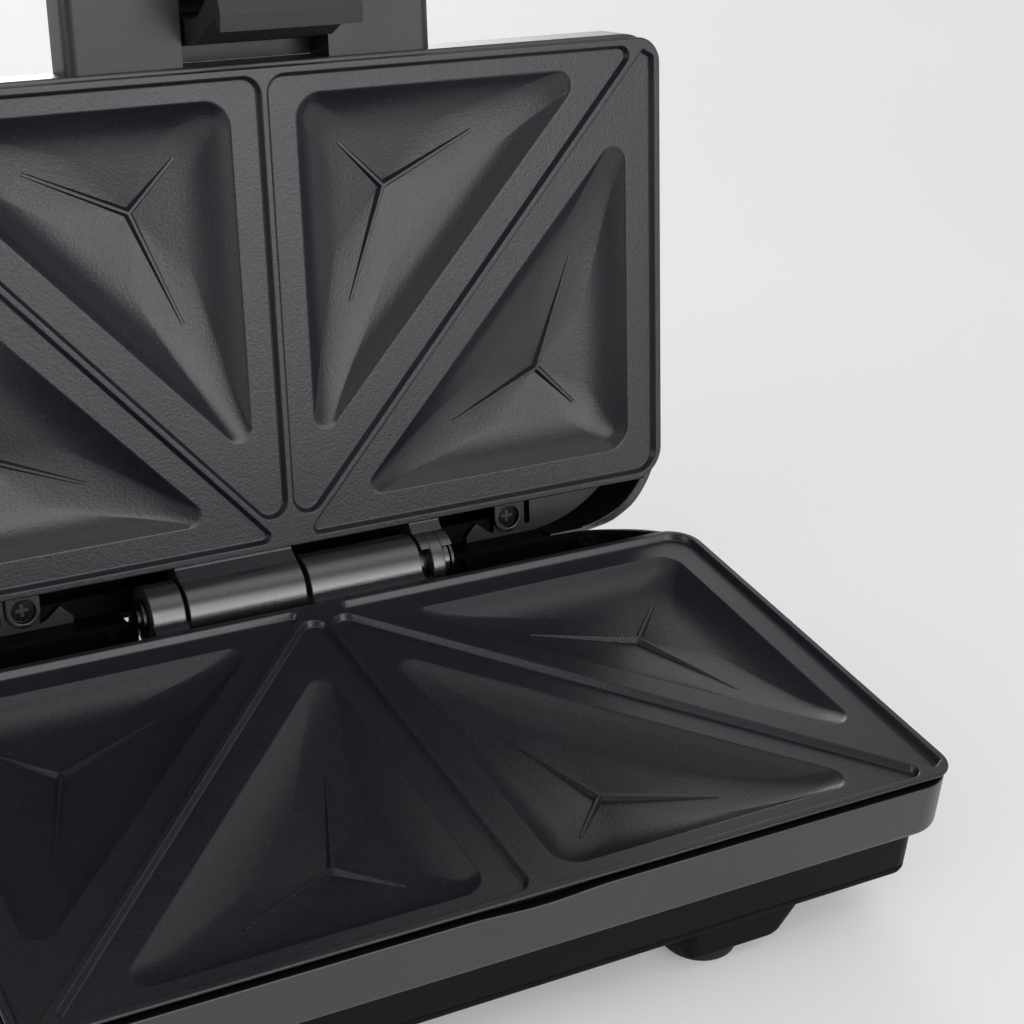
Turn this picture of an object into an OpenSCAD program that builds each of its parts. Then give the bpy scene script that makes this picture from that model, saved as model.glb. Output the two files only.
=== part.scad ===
// Two-slice sandwich toaster with a hinged lid, shown with the lid standing open.
// Millimetres. +X right, +Y towards the hinge, +Z up.
// Work frame: x = 0 at the centre, y = 0 at the rear edge of the lower plate,
// z = 0 at the rim of the lower plate. place() carries it to the part's origin.

/* [Plates] */
// Half of the width of a grill plate
half_w = 115; // [113:0.5:116]
// Depth of a grill plate, rear edge to front edge
plate_d = 124.5; // [124:0.5:126]
// Height of the rim and ridges above the toasting pads
rim_h = 1.8; // [1.4:0.2:2.4]
// Thickness of the plate casting at the pads
plate_wall = 3.2; // [2.8:0.2:3.6]
// Thickness of the flange around the plate that laps over the housing
flange_t = 0.9; // [0.7:0.1:1.5]
// Level of the crest of the three-armed ribs below the rim
rib_level = 7.5; // [7:0.25:8]

/* [Hinge] */
// Angle that the lid opens to
open_deg = 102.56; // [95:0.5:103]
// Radius of the cast hinge barrels
barrel_r = 8.2; // [7.8:0.1:8.4]
// Radius of the hinge pin
pin_r = 3; // [2.5:0.25:3.5]
// Radial running clearance of the pin in the barrels
pin_gap = 0.05; // [0.02:0.01:0.1]

/* [Housings] */
// Wall thickness of the housings
wall = 2.5; // [2:0.25:3]
// Distance from the rim plane to the bottom of the front band
band_z = 16.6; // [16:0.2:17.5]
// How far the lower walls are set back under the band
setback = 5; // [4.5:0.5:6]
// Distance from the rim plane to the underside of the bottom cover
base_z = 32.4; // [32:0.2:34]
// Distance from the rim plane to the top of the lid cover
lid_z = 36; // [35.6:0.2:38]
// Height of the rubber feet below the foot pods
foot_h = 3.7; // [3:0.1:4.5]

/* [Latch] */
// Width of the latch
latch_w = 36; // [30:1:42]
// Angle between the free and the hooked position of the latch
latch_deg = 25; // [22:1:28]

/* [Hidden] */
$fn = 64;

// hinge axis in the work frame
ax_y = 10.9;
ax_z = -1.07;
// the lid's rim plane when the lid is shut
rim_gap = 0.2;
// foot pods
pod_h = 7.9;
floor_z = base_z + pod_h + foot_h;
// shift to the part's origin: centre of the bounding box, on the floor
function opened_y(y, z) = 10.9 + (y - 10.9) * cos(open_deg) + (z + 1.07) * sin(open_deg);
frame_y = -(opened_y(-125.5 + setback + 6, lid_z) - 125.5) / 2;
frame_z = floor_z;

// housing outline
hw = 115.5;
rear_y = 15.5;
rear_r = 28;
front_y = -125.5;
front_r = 11;
// upper edge of the base band below the plate's rim, and the wall behind it
lip_z = 2;
rim_wall = 1.9;

// toasting pockets: right-angled triangles, A at the front centre, B at the rear outside
tri_a = [[8.4, -117.6], [94.3, -117.6], [8.4, -23.7]];
sum_xy = [113.6, -126.8];
tri_b = [for (p = tri_a) sum_xy - p];
function len2(v) = sqrt(v[0] * v[0] + v[1] * v[1]);
function incentre(t) = let (a = len2(t[1] - t[2]), b = len2(t[2] - t[0]), c = len2(t[0] - t[1]))
  (a * t[0] + b * t[1] + c * t[2]) / (a + b + c);
function inradius(t) = let (a = len2(t[1] - t[2]), b = len2(t[2] - t[0]), c = len2(t[0] - t[1]))
  (b + c - a) / 2;
in_a = incentre(tri_a);
in_b = incentre(tri_b);
r_in = inradius(tri_a);
// rounded corner of a polygon, as short chords
function unit(v) = v / len2(v);
function corner(p0, p1, p2, r, n) = let (u = unit(p0 - p1), v = unit(p2 - p1),
    half = acos(u * v) / 2, d = r / tan(half), c = p1 + unit(u + v) * r / sin(half),
    s = p1 + u * d, e = p1 + v * d,
    a0 = atan2(s[1] - c[1], s[0] - c[0]), a1r = atan2(e[1] - c[1], e[0] - c[0]),
    dd = a1r - a0, a1 = dd > 180 ? a1r - 360 : dd < -180 ? a1r + 360 : a1r)
  [for (i = [0 : n]) let (a = a0 + (a1 - a0) * i / n) c + r * [cos(a), sin(a)]];
function rounded(p, r, n) = let (m = len(p))
  [for (i = [0 : m - 1]) each corner(p[(i + m - 1) % m], p[i], p[(i + 1) % m], r[i], n)];
// pads, the recessed flats around the pockets
pad_a = [[1.1, -2.0], [1.1, -121.9], [107.4, -121.9]];
pad_b = [[4.9, -2.2], [112.3, -2.2], [112.3, -119.2], [110.2, -120.9]];
// inset copies of a pocket are scaled about its centre
function ccw(t, c, s, z) = [for (p = t) let (q = c + (p - c) * (1 - s / r_in)) [q[0], q[1], z]];
// closed skin through equal rings, lowest first
module loft(rings) {
  n = len(rings[0]);
  m = len(rings);
  pts = [for (r = rings) each r];
  sides = [for (k = [0 : m - 2]) for (i = [0 : n - 1])
    [k * n + i, k * n + (i + 1) % n, (k + 1) * n + (i + 1) % n, (k + 1) * n + i]];
  polyhedron(points = pts, faces = concat([[for (i = [0 : n - 1]) i]],
    [for (s = sides) each [[s[2], s[1], s[0]], [s[3], s[2], s[0]]]],
    [[for (i = [n - 1 : -1 : 0]) (m - 1) * n + i]]));
}

// ---------- frames ----------
module place() { translate([0, frame_y, frame_z]) children(); }
// parts of the lid are drawn shut and swung open about the hinge
module swing() {
  place() translate([0, ax_y, ax_z]) rotate([-open_deg, 0, 0]) translate([0, -ax_y, -ax_z])
    children();
}
// parts of the lid that mirror the base
module flip() { translate([0, 0, rim_gap]) mirror([0, 0, 1]) children(); }

// ---------- shared shapes ----------
module outline(i) {
  for (s = [-1, 1]) {
    translate([s * (hw - rear_r), rear_y - rear_r]) circle(r = rear_r - i, $fn = 96);
    translate([s * (hw - front_r), front_y + front_r]) circle(r = front_r - i, $fn = 64);
  }
  translate([-(hw - rear_r), front_y + i]) square([2 * (hw - rear_r), rear_y - front_y - 2 * i]);
  translate([-(hw - i), front_y + front_r]) square([2 * (hw - i), rear_y - rear_r - front_y - front_r]);
  translate([-(hw - front_r), front_y + i]) square([2 * (hw - front_r), 60]);
}
// outline of the lid's crown, longer at the rear
module crown(i) {
  outline(i);
  translate([0, 4]) outline(i);
}
module round_rect(x, y0, y1, r) {
  for (s = [-1, 1]) for (c = [y0 + r, y1 - r]) translate([s * (x - r), c]) circle(r = r, $fn = 48);
  translate([-x, y0 + r]) square([2 * x, y1 - y0 - 2 * r]);
  translate([-x + r, y0]) square([2 * (x - r), y1 - y0]);
}
module along_x(x0, x1) { translate([x0, 0, 0]) rotate([90, 0, 90]) linear_extrude(x1 - x0) children(); }
module rod_x(x0, x1, r) { translate([x0, 0, 0]) rotate([0, 90, 0]) cylinder(h = x1 - x0, r = r, $fn = 64); }

// pan-head cross-recess screw, head underside at z = 0, shank down
module screw(d, len, hd, hh) {
  difference() {
    union() {
      cylinder(h = hh, r = hd / 2, $fn = 32);
      translate([0, 0, -len]) cylinder(h = len + 0.1, r = d / 2, $fn = 24);
    }
    for (a = [0, 90]) rotate([0, 0, a]) translate([-hd * 0.3, -0.45, hh - 1.1]) cube([hd * 0.6, 0.9, 2]);
  }
}

// grill plate: rim plane at z = 0, underside down; the barrel is on the side of sgn
boss_mid = [[56.8, -63.4], [-56.8, -63.4], [0, -64], [0, -12]];
boss_corner = [[103.5, -113.5], [-103.5, -113.5], [103.5, -12], [-103.5, -12]];
module plate_casting(sgn, az) {
  t = rim_h + plate_wall;
  difference() {
    union() {
      translate([0, 0, -flange_t]) linear_extrude(flange_t) round_rect(half_w, -plate_d, 0, 9);
      translate([0, 0, -t]) linear_extrude(t - 0.5) round_rect(half_w - 2, -plate_d + 2.2, 0, 9);
      for (m = [0, 1]) mirror([m, 0, 0]) {
        loft([ccw(tri_a, in_a, 20, -12.6), ccw(tri_a, in_a, 5, -10.2), ccw(tri_a, in_a, -1.5, -4)]);
        loft([ccw(tri_b, in_b, 20, -12.6), ccw(tri_b, in_b, 5, -10.2), ccw(tri_b, in_b, -1.5, -4)]);
      }
      for (p = boss_mid) translate([p[0], p[1], -19.4]) cylinder(h = 15, r = 4, $fn = 32);
      for (p = boss_corner) translate([p[0], p[1], -13.8]) cylinder(h = 10, r = 4, $fn = 32);
      // barrel and the flange that carries it
      translate([0, ax_y, az]) {
        if (sgn > 0) { rod_x(0.6, 33, barrel_r); rod_x(-42.9, -33.9, barrel_r); }
        else { rod_x(-33, -0.6, barrel_r); rod_x(33.9, 42.9, barrel_r); }
      }
      along_x(sgn > 0 ? 0.6 : -33, sgn > 0 ? 33 : -0.6)
        polygon([[-1, -t], [-1, -0.3], [2.8, az > 0 ? 0.5 : -0.3], [ax_y, az], [4, -6.8], [0, -t]]);
      along_x(sgn > 0 ? -42.9 : 33.9, sgn > 0 ? -33.9 : 42.9)
        polygon([[-1, -t], [-1, -0.3], [2.8, az > 0 ? 0.5 : -0.3], [ax_y, az], [4, -6.8], [0, -t]]);
    }
    // toasting pads and pockets
    for (m = [0, 1]) mirror([m, 0, 0]) {
      translate([0, 0, -rim_h]) linear_extrude(rim_h + 3) polygon(rounded(pad_a, [3.9, 4.5, 2.4], 4));
      translate([0, 0, -rim_h]) linear_extrude(rim_h + 3) polygon(rounded(pad_b, [1.7, 6, 0.8, 0.8], 4));
      loft([ccw(tri_a, in_a, 21, -9.8), ccw(tri_a, in_a, 6.5, -rib_level), ccw(tri_a, in_a, 0, -rim_h + 0.1)]);
      loft([ccw(tri_b, in_b, 21, -9.8), ccw(tri_b, in_b, 6.5, -rib_level), ccw(tri_b, in_b, 0, -rim_h + 0.1)]);
    }
    // pin bore and the gaps between the knuckles
    translate([0, ax_y, az]) rod_x(-50, 50, pin_r + pin_gap);
    // notches at the two ends of the narrow knuckle, down to a sleeve round the pin
    if (sgn < 0) translate([0, ax_y, az]) mirror([0, 0, 1]) rotate([open_deg, 0, 0]) difference() {
      for (x = [[33.8, 36.2], [40, 43]]) translate([x[0], -12, -13]) cube([x[1] - x[0], 12, 19.7]);
      rod_x(33, 44, pin_r + 1.6);
    }
    // pilot holes of the bosses
    for (p = boss_mid) translate([p[0], p[1], -20]) cylinder(h = 11, r = 1.65, $fn = 24);
    for (p = boss_corner) translate([p[0], p[1], -14]) cylinder(h = 8, r = 1.65, $fn = 24);
  }
  // three-armed ribs on the pocket floors
  for (m = [0, 1]) mirror([m, 0, 0]) for (q = [[tri_a, in_a], [tri_b, in_b]]) for (k = [0 : 2]) {
    v = unit(q[0][k] - q[1]);
    l = (len2(q[0][k] - q[1])) * (1 - 8 / r_in);
    translate([q[1][0], q[1][1], -10.4]) rotate([0, 0, atan2(v[1], v[0])])
      translate([0, -0.7, 0]) cube([l, 1.4, 10.4 - rib_level]);
  }
}

// hairpin heating element below the plate
module heater_shape() {
  z = -16.2;
  r = 3;
  for (y = [-30, -95]) translate([0, y, z]) rod_x(-58.5, 84, r);
  translate([-58.5, -62.5, z]) rotate([0, 0, 90]) rotate_extrude(angle = 180, $fn = 96)
    translate([32.5, 0]) circle(r = r, $fn = 32);
}
module terminal_shape() {
  for (y = [-30, -95]) translate([0, y, -16.2]) {
    difference() { rod_x(84, 93, 3.4); rod_x(83, 94, 1.5); }
    rod_x(84, 99, 1.5);
    translate([95, -0.4, -3]) cube([7, 0.8, 6]);
  }
}
stat_xy = [36.5, -41.2];
// folded sheet tray under the element
module shield_shape() {
  difference() {
    union() {
      translate([0, 0, -20.4]) linear_extrude(0.8) round_rect(96, -112, -6, 6);
      difference() {
        translate([0, 0, -20.4]) linear_extrude(5) round_rect(96, -112, -6, 6);
        translate([0, 0, -21]) linear_extrude(8) round_rect(95.2, -111.2, -6.8, 5.2);
      }
    }
    for (p = boss_mid) translate([p[0], p[1], -22]) cylinder(h = 4, r = 2.2, $fn = 24);
    // notches for the element's tails
    for (y = [-30, -95]) translate([90, y - 5, -19.6]) cube([20, 10, 8]);
    // slot for the thermostat
    translate([stat_xy[0], stat_xy[1], -22]) cylinder(h = 4, r = 5, $fn = 32);
  }
}

// ---------- base ----------
module base_housing() {
  color("#2b2c2b") place() difference() {
    union() {
      difference() {
        union() {
          translate([0, 0, -band_z]) linear_extrude(band_z - lip_z) outline(0);
          translate([0, 0, -base_z + 2]) linear_extrude(base_z - 2 - band_z + 1) outline(setback);
        }
        translate([0, 0, -band_z + wall]) linear_extrude(band_z) outline(rim_wall);
        translate([0, 0, -base_z]) linear_extrude(base_z) outline(setback + wall);
      }
      // corner tabs that carry the plate
      for (p = boss_corner) translate([p[0], p[1], -band_z]) {
        cylinder(h = wall, r = 6.5, $fn = 32);
        translate([p[0] > 0 ? 0 : -7, -6.5, 0]) cube([7, 13, wall]);
        if (p[1] < -50) translate([-6.5, -7, 0]) cube([13, 7, wall]);
      }
      // ribs under the plate edge
      for (s = [-1, 1]) for (y = [-95, -70, -45]) translate([s > 0 ? 110.5 : -114, y, -band_z + wall - 0.5])
        cube([3.5, 2.5, band_z - wall - rim_h - plate_wall + 0.5]);
      for (x = [-84, -45, 45, 84]) translate([x - 1.25, -124, -band_z + wall - 0.5])
        cube([2.5, 3.5, band_z - wall - rim_h - plate_wall + 0.5]);
      // rear screw bosses, and posts for the bottom cover
      for (s = [-1, 1]) {
        translate([s * 88.6, 9.2, -band_z]) cylinder(h = band_z - 6.2, r = 4.2, $fn = 48);
        for (y = [-112, -40]) translate([s * 104.5, y, -base_z + 2]) cylinder(h = 8, r = 3.6, $fn = 32);
      }
      // small post beside the hinge
      translate([50.5, 10.3, -base_z + 6]) cube([1.8, 4, base_z - 6 - 4.5]);
      translate([-52.3, 10.3, -base_z + 6]) cube([1.8, 4, base_z - 6 - 4.5]);
    }
    // rear edge slopes down towards the hinge
    along_x(-130, 130) polygon([[0, -lip_z], [30, -lip_z - 6.3], [30, 5], [-1, 5], [-1, -lip_z]]);
    // hinge opening
    translate([-46, 0, -13.4]) cube([92, 30, 20]);
    for (p = boss_corner) translate([p[0], p[1], -band_z - 1]) cylinder(h = 6, r = 2.2, $fn = 24);
    for (s = [-1, 1]) {
      translate([s * 88.6, 9.2, -14.6]) cylinder(h = 12, r = 1.55, $fn = 24);
      for (y = [-112, -40]) translate([s * 104.5, y, -base_z + 1]) cylinder(h = 8, r = 1.35, $fn = 24);
    }
    // cord inlet
    translate([-66, 20, -23.6]) rotate([90, 0, 0]) cylinder(h = 20, r = 5.25, $fn = 64);
  }
}
module pod(x0, x1, x2, y0, y1) {
  translate([0, y1, 0]) rotate([90, 0, 0]) linear_extrude(y1 - y0)
    polygon([[x0, 1], [x0, -pod_h], [x1, -pod_h], [x2, 0], [x2, 1]]);
}
foot_xy = [[55.4, -109.3], [55.4, -1]];
module bottom_cover() {
  color("#1d1d1c") place() difference() {
    union() {
      translate([0, 0, -base_z]) linear_extrude(2) outline(setback);
      for (m = [0, 1]) mirror([m, 0, 0]) translate([0, 0, -base_z]) {
        pod(45.6, 71, 76.5, -120.2, -97);
        pod(45.6, 71, 76.5, -13, 10);
      }
      // locating lip inside the housing wall
      translate([0, 0, -base_z + 1]) linear_extrude(3.6) difference() {
        outline(setback + wall + 0.2);
        outline(setback + wall + 1.7);
      }
    }
    for (s = [-1, 1]) {
      for (f = foot_xy) translate([s * f[0], f[1], -base_z - pod_h - 1]) cylinder(h = 3.5, r = 8.05, $fn = 64);
      for (y = [-112, -40]) translate([s * 104.5, y, -base_z - 1]) {
        cylinder(h = 8, r = 1.6, $fn = 24);
        translate([0, 0, 1.9]) cylinder(h = 8, r = 3.9, $fn = 32);
      }
    }
    // cooling slots
    for (i = [-4 : 4]) translate([i * 9 - 1.5, -82, -base_z - 1]) cube([3, 36, 4]);
    // room for the housing's lip at the cord inlet
    translate([-76, -2, -base_z + 2]) cube([20, 14, 6]);
  }
}
module rubber_feet() {
  color("#3a3a3a") place() for (s = [-1, 1]) for (f = foot_xy) translate([s * f[0], f[1], 0]) {
    translate([0, 0, -floor_z]) cylinder(h = foot_h, r = 9.7, $fn = 64);
    translate([0, 0, -base_z - pod_h - 0.1]) cylinder(h = 2.4, r = 8, $fn = 64);
  }
}
module lower_plate() { color("#232427") place() plate_casting(1, ax_z); }
module lower_shield() { color("#b9bcbe") place() shield_shape(); }
module lower_heater() { color("#6d6a66") place() heater_shape(); }
module lower_terminals() { color("#e6e1d6") place() terminal_shape(); }
module lower_plate_screws() {
  color("#9a9c9e") place() for (p = boss_corner) translate([p[0], p[1], -band_z]) rotate([180, 0, 0])
    screw(3.2, 8, 7, 2.4);
}
module lower_shield_screws() {
  color("#9a9c9e") place() for (p = boss_mid) translate([p[0], p[1], -20.4]) rotate([180, 0, 0])
    screw(3.2, 8, 7, 2.4);
}
module base_case_screws() {
  color("#9a9c9e") place() for (s = [-1, 1]) for (y = [-112, -40]) translate([s * 104.5, y, -base_z])
    rotate([180, 0, 0]) screw(2.6, 7.5, 5.6, 1.8);
}
module base_rear_screws() {
  color("#777a7c") place() for (s = [-1, 1]) translate([s * 88.6, 9.2, -6.2]) screw(3, 7, 5.8, 2);
}
module thermostat() {
  color("#c9b08a") place() translate([stat_xy[0], stat_xy[1], 0]) {
    translate([0, 0, -21]) cylinder(h = 21 - rim_h - plate_wall, r = 4.8, $fn = 48);
    translate([0, 0, -22.2]) cylinder(h = 1.8, r = 8.4, $fn = 48);
    translate([0, 0, -27]) cylinder(h = 5, r = 7, $fn = 48);
    for (s = [-1, 1]) translate([s * 4 - 0.4, -2.5, -29.6]) cube([0.8, 5, 3]);
  }
}
module thermal_fuse() {
  color("#d8d4cc") place() translate([0, -80, -23.4]) {
    rod_x(-34, -18, 2.4);
    rod_x(-42, -10, 0.6);
  }
}
module terminal_block() {
  color("#e9e6dd") place() difference() {
    translate([-72, -20, -30.2]) cube([26, 12, 9]);
    for (i = [0 : 2]) translate([-68 + i * 9, -24, -25.4]) rotate([-90, 0, 0]) cylinder(h = 20, r = 1.7, $fn = 24);
    for (i = [0 : 2]) for (y = [-17, -11]) translate([-68 + i * 9, y, -25]) cylinder(h = 6, r = 1.3, $fn = 24);
  }
}
// strain-relief gland in the rear wall; its bore takes a 7 mm lead
module cord_gland() {
  color("#222222") place() translate([-66, 0, -23.6]) rotate([-90, 0, 0]) difference() {
    union() {
      translate([0, 0, 4]) cylinder(h = 10, r = 5.2, $fn = 64);
      translate([0, 0, rear_y - setback]) cylinder(h = 2.2, r = 6.6, $fn = 64);
      translate([0, 0, rear_y - setback - wall - 2]) cylinder(h = 2, r = 6.6, $fn = 6);
      translate([0, 0, 12]) cylinder(h = 8, r = 4.9, $fn = 64);
    }
    translate([0, 0, 3]) cylinder(h = 20, r = 3.75, $fn = 64);
  }
}
module base_wiring() {
  color("#d9772b") place() {
    translate([0, -24, -25.4]) rod_x(-40, 88, 1.2);
    translate([-40, -24, -25.4]) sphere(r = 1.2, $fn = 24);
    translate([-40, -24, -25.4]) rotate([90, 0, 0]) cylinder(h = 50, r = 1.2, $fn = 24);
    translate([88, -24, -25.4]) sphere(r = 1.2, $fn = 24);
    translate([88, -24, -25.4]) cylinder(h = 3.4, r = 1.2, $fn = 24);
  }
}
module hinge_pin() {
  color("#8f9193") place() translate([0, ax_y, ax_z]) difference() {
    rod_x(-45, 45, pin_r);
    for (x = [-44.1, 43.3]) difference() { rod_x(x, x + 0.8, pin_r + 1); rod_x(x - 1, x + 2, pin_r - 0.5); }
  }
}
module hinge_clips() {
  color("#8f9193") place() translate([0, ax_y, ax_z]) for (x = [-44.05, 43.35]) difference() {
    rod_x(x, x + 0.7, pin_r + 2);
    rod_x(x - 1, x + 2, pin_r - 0.48);
    translate([x - 1, -1.6, -8]) cube([3, 3.2, 6]);
  }
}

// ---------- lid (drawn shut, swung open) ----------
step_z = band_z - wall;
// rear bosses of the lid: their face, the seat of the sunk screw, and the shelf beside them
lid_boss = [70.3, 7.7];
boss_z = 11;
sink_z = 14.4;
shelf_z = 12.5;
function ring(c, r, z) = [for (i = [0 : 63]) [c[0] + r * cos(i * 360 / 64), c[1] + r * sin(i * 360 / 64), z]];
module lid_housing() {
  color("#2b2c2b") swing() difference() {
    union() {
      difference() {
        union() {
          translate([0, 0, lip_z + rim_gap]) linear_extrude(band_z - lip_z - rim_gap) outline(0);
          translate([0, 0, band_z - 1]) linear_extrude(lid_z - 6 - band_z + 1) crown(setback);
        }
        linear_extrude(step_z) outline(rim_wall);
        linear_extrude(lid_z) crown(setback + wall);
      }
      // shelf beside the rear bosses, the bosses, and the thick rear corners
      for (m = [0, 1]) mirror([m, 0, 0]) {
        translate([0, 0, shelf_z]) linear_extrude(band_z - shelf_z) {
          intersection() { outline(1); translate([66.1, -2]) square([50, 20]); }
          polygon([[57.3, 11.7], [60.5, 8.5], [63, 10.3], [66.2, 12.2], [66.2, 14], [57.3, 14]]);
        }
        translate([0, 0, boss_z]) linear_extrude(band_z - boss_z) {
          translate(lid_boss) circle(r = 4.5, $fn = 48);
          translate([lid_boss[0] - 4.5, -2]) square([9, lid_boss[1] + 2]);
        }
        difference() {
          translate([0, 0, lip_z]) linear_extrude(shelf_z - lip_z + 0.1)
            intersection() { outline(1); translate([80, 0.6]) square([40, 20]); }
          loft([ring([87.5, -12.5], 25.2, lip_z - 0.1), ring([87.5, -12.5], 25, lip_z + 1.2), ring([75, -27], 40.8, shelf_z + 0.2)]);
        }
      }
      for (s = [-1, 1]) {
        for (y = [-112, -40]) translate([s * 104.5, y, lid_z - 14]) cylinder(h = 8, r = 3.6, $fn = 32);
      }
      for (p = boss_corner) translate([p[0], p[1], step_z]) {
        cylinder(h = wall, r = 6.5, $fn = 32);
        translate([p[0] > 0 ? 0 : -7, -6.5, 0]) cube([7, 13, wall]);
        if (p[1] < -50) translate([-6.5, -7, 0]) cube([13, 7, wall]);
      }
      for (s = [-1, 1]) for (y = [-95, -70, -45]) translate([s > 0 ? 110.5 : -114, y, rim_h + plate_wall + rim_gap])
        cube([3.5, 2.5, step_z - rim_h - plate_wall - rim_gap + 0.5]);
      for (x = [-84, -45, 45, 84]) translate([x - 1.25, -124, rim_h + plate_wall + rim_gap])
        cube([2.5, 3.5, step_z - rim_h - plate_wall - rim_gap + 0.5]);
    }
    // rear edge rises to swing past the base
    along_x(-130, 130) polygon([[-1, lip_z + rim_gap], [8, lip_z + rim_gap], [12.5, lip_z + 1.6], [15.5, lip_z + 4.9],
      [30, lip_z + 20.9], [30, -5], [-1, -5]]);
    translate([-46, 0, -8]) cube([92, 30, 20.4]);
    // slot in the shelf
    for (s = [-1, 1]) translate([s * 76.9 - 0.9, 2, shelf_z - 1]) cube([1.8, 9.2, 8]);
    for (p = boss_corner) translate([p[0], p[1], step_z - 1]) cylinder(h = 6, r = 2.2, $fn = 24);
    for (s = [-1, 1]) {
      translate([s * lid_boss[0], lid_boss[1], 9]) {
        cylinder(h = 10, r = 1.6, $fn = 24);
        cylinder(h = sink_z - 9, r = 3.2, $fn = 32);
      }
      for (y = [-112, -40]) translate([s * 104.5, y, lid_z - 15]) {
        cylinder(h = 6.5, r = 2.9, $fn = 32);
        cylinder(h = 12, r = 1.6, $fn = 24);
      }
    }
    // screw holes for the handle
    for (x = [-38, 38]) translate([x, -120, 10]) rotate([90, 0, 0]) cylinder(h = 12, r = 1.7, $fn = 24);
  }
}
module lid_cover() {
  color("#34353a") swing() difference() {
    union() {
      translate([0, 0, lid_z - 6]) linear_extrude(4) crown(setback);
      translate([0, 0, lid_z - 2.2]) linear_extrude(2.2) crown(setback + 6);
      for (s = [-1, 1]) translate([s * lid_boss[0], lid_boss[1], band_z]) cylinder(h = lid_z - 3 - band_z, r = 4.2, $fn = 48);
    }
    difference() {
      translate([0, 0, lid_z - 7]) linear_extrude(4.6) crown(setback + wall);
      for (s = [-1, 1]) {
        for (y = [-112, -40]) translate([s * 104.5, y, lid_z - 8]) cylinder(h = 8, r = 3.6, $fn = 32);
        translate([s * lid_boss[0], lid_boss[1], lid_z - 8]) cylinder(h = 8, r = 4.2, $fn = 48);
      }
    }
    for (s = [-1, 1]) translate([s * lid_boss[0], lid_boss[1], band_z - 1]) cylinder(h = 13, r = 1.55, $fn = 24);
    for (s = [-1, 1]) for (y = [-112, -40]) translate([s * 104.5, y, lid_z - 7]) cylinder(h = 4.2, r = 1.25, $fn = 24);
    // lamp holes
    for (s = [-1, 1]) translate([s * 9, -101, lid_z - 10]) cylinder(h = 20, r = 3.6, $fn = 48);
  }
}
pv_y = -134;
pv_z = 10;
module grip2d(i) {
  translate([-48 + i, -152 + 10]) square([96 - 2 * i, 16.5]);
  translate([-38, -152 + i]) square([76, 26.5 - i]);
  for (s = [-1, 1]) translate([s * 38, -142]) circle(r = 10 - i, $fn = 48);
}
module lid_handle() {
  color("#232424") swing() difference() {
    translate([0, 0, 3.4]) linear_extrude(15) grip2d(0);
    // finger hollow on the underside, in front of the latch
    translate([-latch_w / 2 - 1.2, -143, -1]) cube([latch_w + 2.4, 17.6, 17]);
    translate([0, pv_y, pv_z]) rod_x(-27, 27, 1.55);
    for (x = [-38, 38]) translate([x, -125, 10]) rotate([90, 0, 0]) cylinder(h = 14, r = 1.35, $fn = 24);
  }
}
module handle_screws() {
  color("#9a9c9e") swing() for (x = [-38, 38]) translate([x, front_y + rim_wall, 10]) rotate([-90, 0, 0])
    screw(2.6, 14, 5.6, 1.8);
}
module upper_plate() { color("#4a4b50") swing() flip() plate_casting(-1, rim_gap - ax_z); }
module upper_shield() { color("#b9bcbe") swing() flip() shield_shape(); }
module upper_heater() { color("#6d6a66") swing() flip() heater_shape(); }
module upper_terminals() { color("#e6e1d6") swing() flip() terminal_shape(); }
module upper_plate_screws() {
  color("#9a9c9e") swing() for (p = boss_corner) translate([p[0], p[1], band_z]) screw(3.2, 8, 7, 2.4);
}
module upper_shield_screws() {
  color("#9a9c9e") swing() for (p = boss_mid) translate([p[0], p[1], 20.4 + rim_gap]) screw(3.2, 8, 7, 2.4);
}
module lid_case_screws() {
  color("#777a7c") swing() {
    for (s = [-1, 1]) translate([s * lid_boss[0], lid_boss[1], sink_z]) rotate([180, 0, 0]) screw(3, 12, 5.8, 2);
    for (s = [-1, 1]) for (y = [-112, -40]) translate([s * 104.5, y, lid_z - 8.5]) rotate([180, 0, 0])
      screw(2.4, 5.4, 5, 1.6);
  }
}
module lens(x) {
  translate([x, -101, lid_z - 4]) cylinder(h = 4, r = 3.5, $fn = 48);
  translate([x, -101, lid_z]) difference() {
    sphere(r = 3.5, $fn = 48);
    translate([-5, -5, -10]) cube([10, 10, 10]);
    translate([-5, -5, 0.8]) cube([10, 10, 10]);
  }
  translate([x, -101, lid_z - 6.6]) cylinder(h = 2.8, r = 4.6, $fn = 48);
}
module power_lens() { color("#d83a2a") swing() lens(-9); }
module ready_lens() { color("#3fae4b") swing() lens(9); }
module indicator_board() {
  color("#3c6b45") swing() {
    translate([-18, -108, lid_z - 12]) cube([36, 14, 1.4]);
    for (s = [-1, 1]) translate([s * 9, -101, lid_z - 10.6]) cylinder(h = 3.4, r = 2.4, $fn = 32);
    for (s = [-1, 1]) translate([s * 15 - 1.5, -103, lid_z - 10.6]) cube([3, 4, 2]);
  }
}
module lid_wiring() {
  color("#d9772b") swing() {
    translate([0, -80, 24.6]) rod_x(-12, 88, 1.1);
    translate([-12, -80, 24.6]) sphere(r = 1.1, $fn = 24);
    translate([-12, -80, 24.6]) rotate([90, 0, 0]) cylinder(h = 14, r = 1.1, $fn = 24);
    translate([88, -80, 24.6]) sphere(r = 1.1, $fn = 24);
    translate([88, -80, 24.6]) rotate([90, 0, 0]) cylinder(h = 12, r = 1.1, $fn = 24);
  }
}
module latch_pin() { color("#8f9193") swing() translate([0, pv_y, pv_z]) rod_x(-26, 26, 1.5); }

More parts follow.
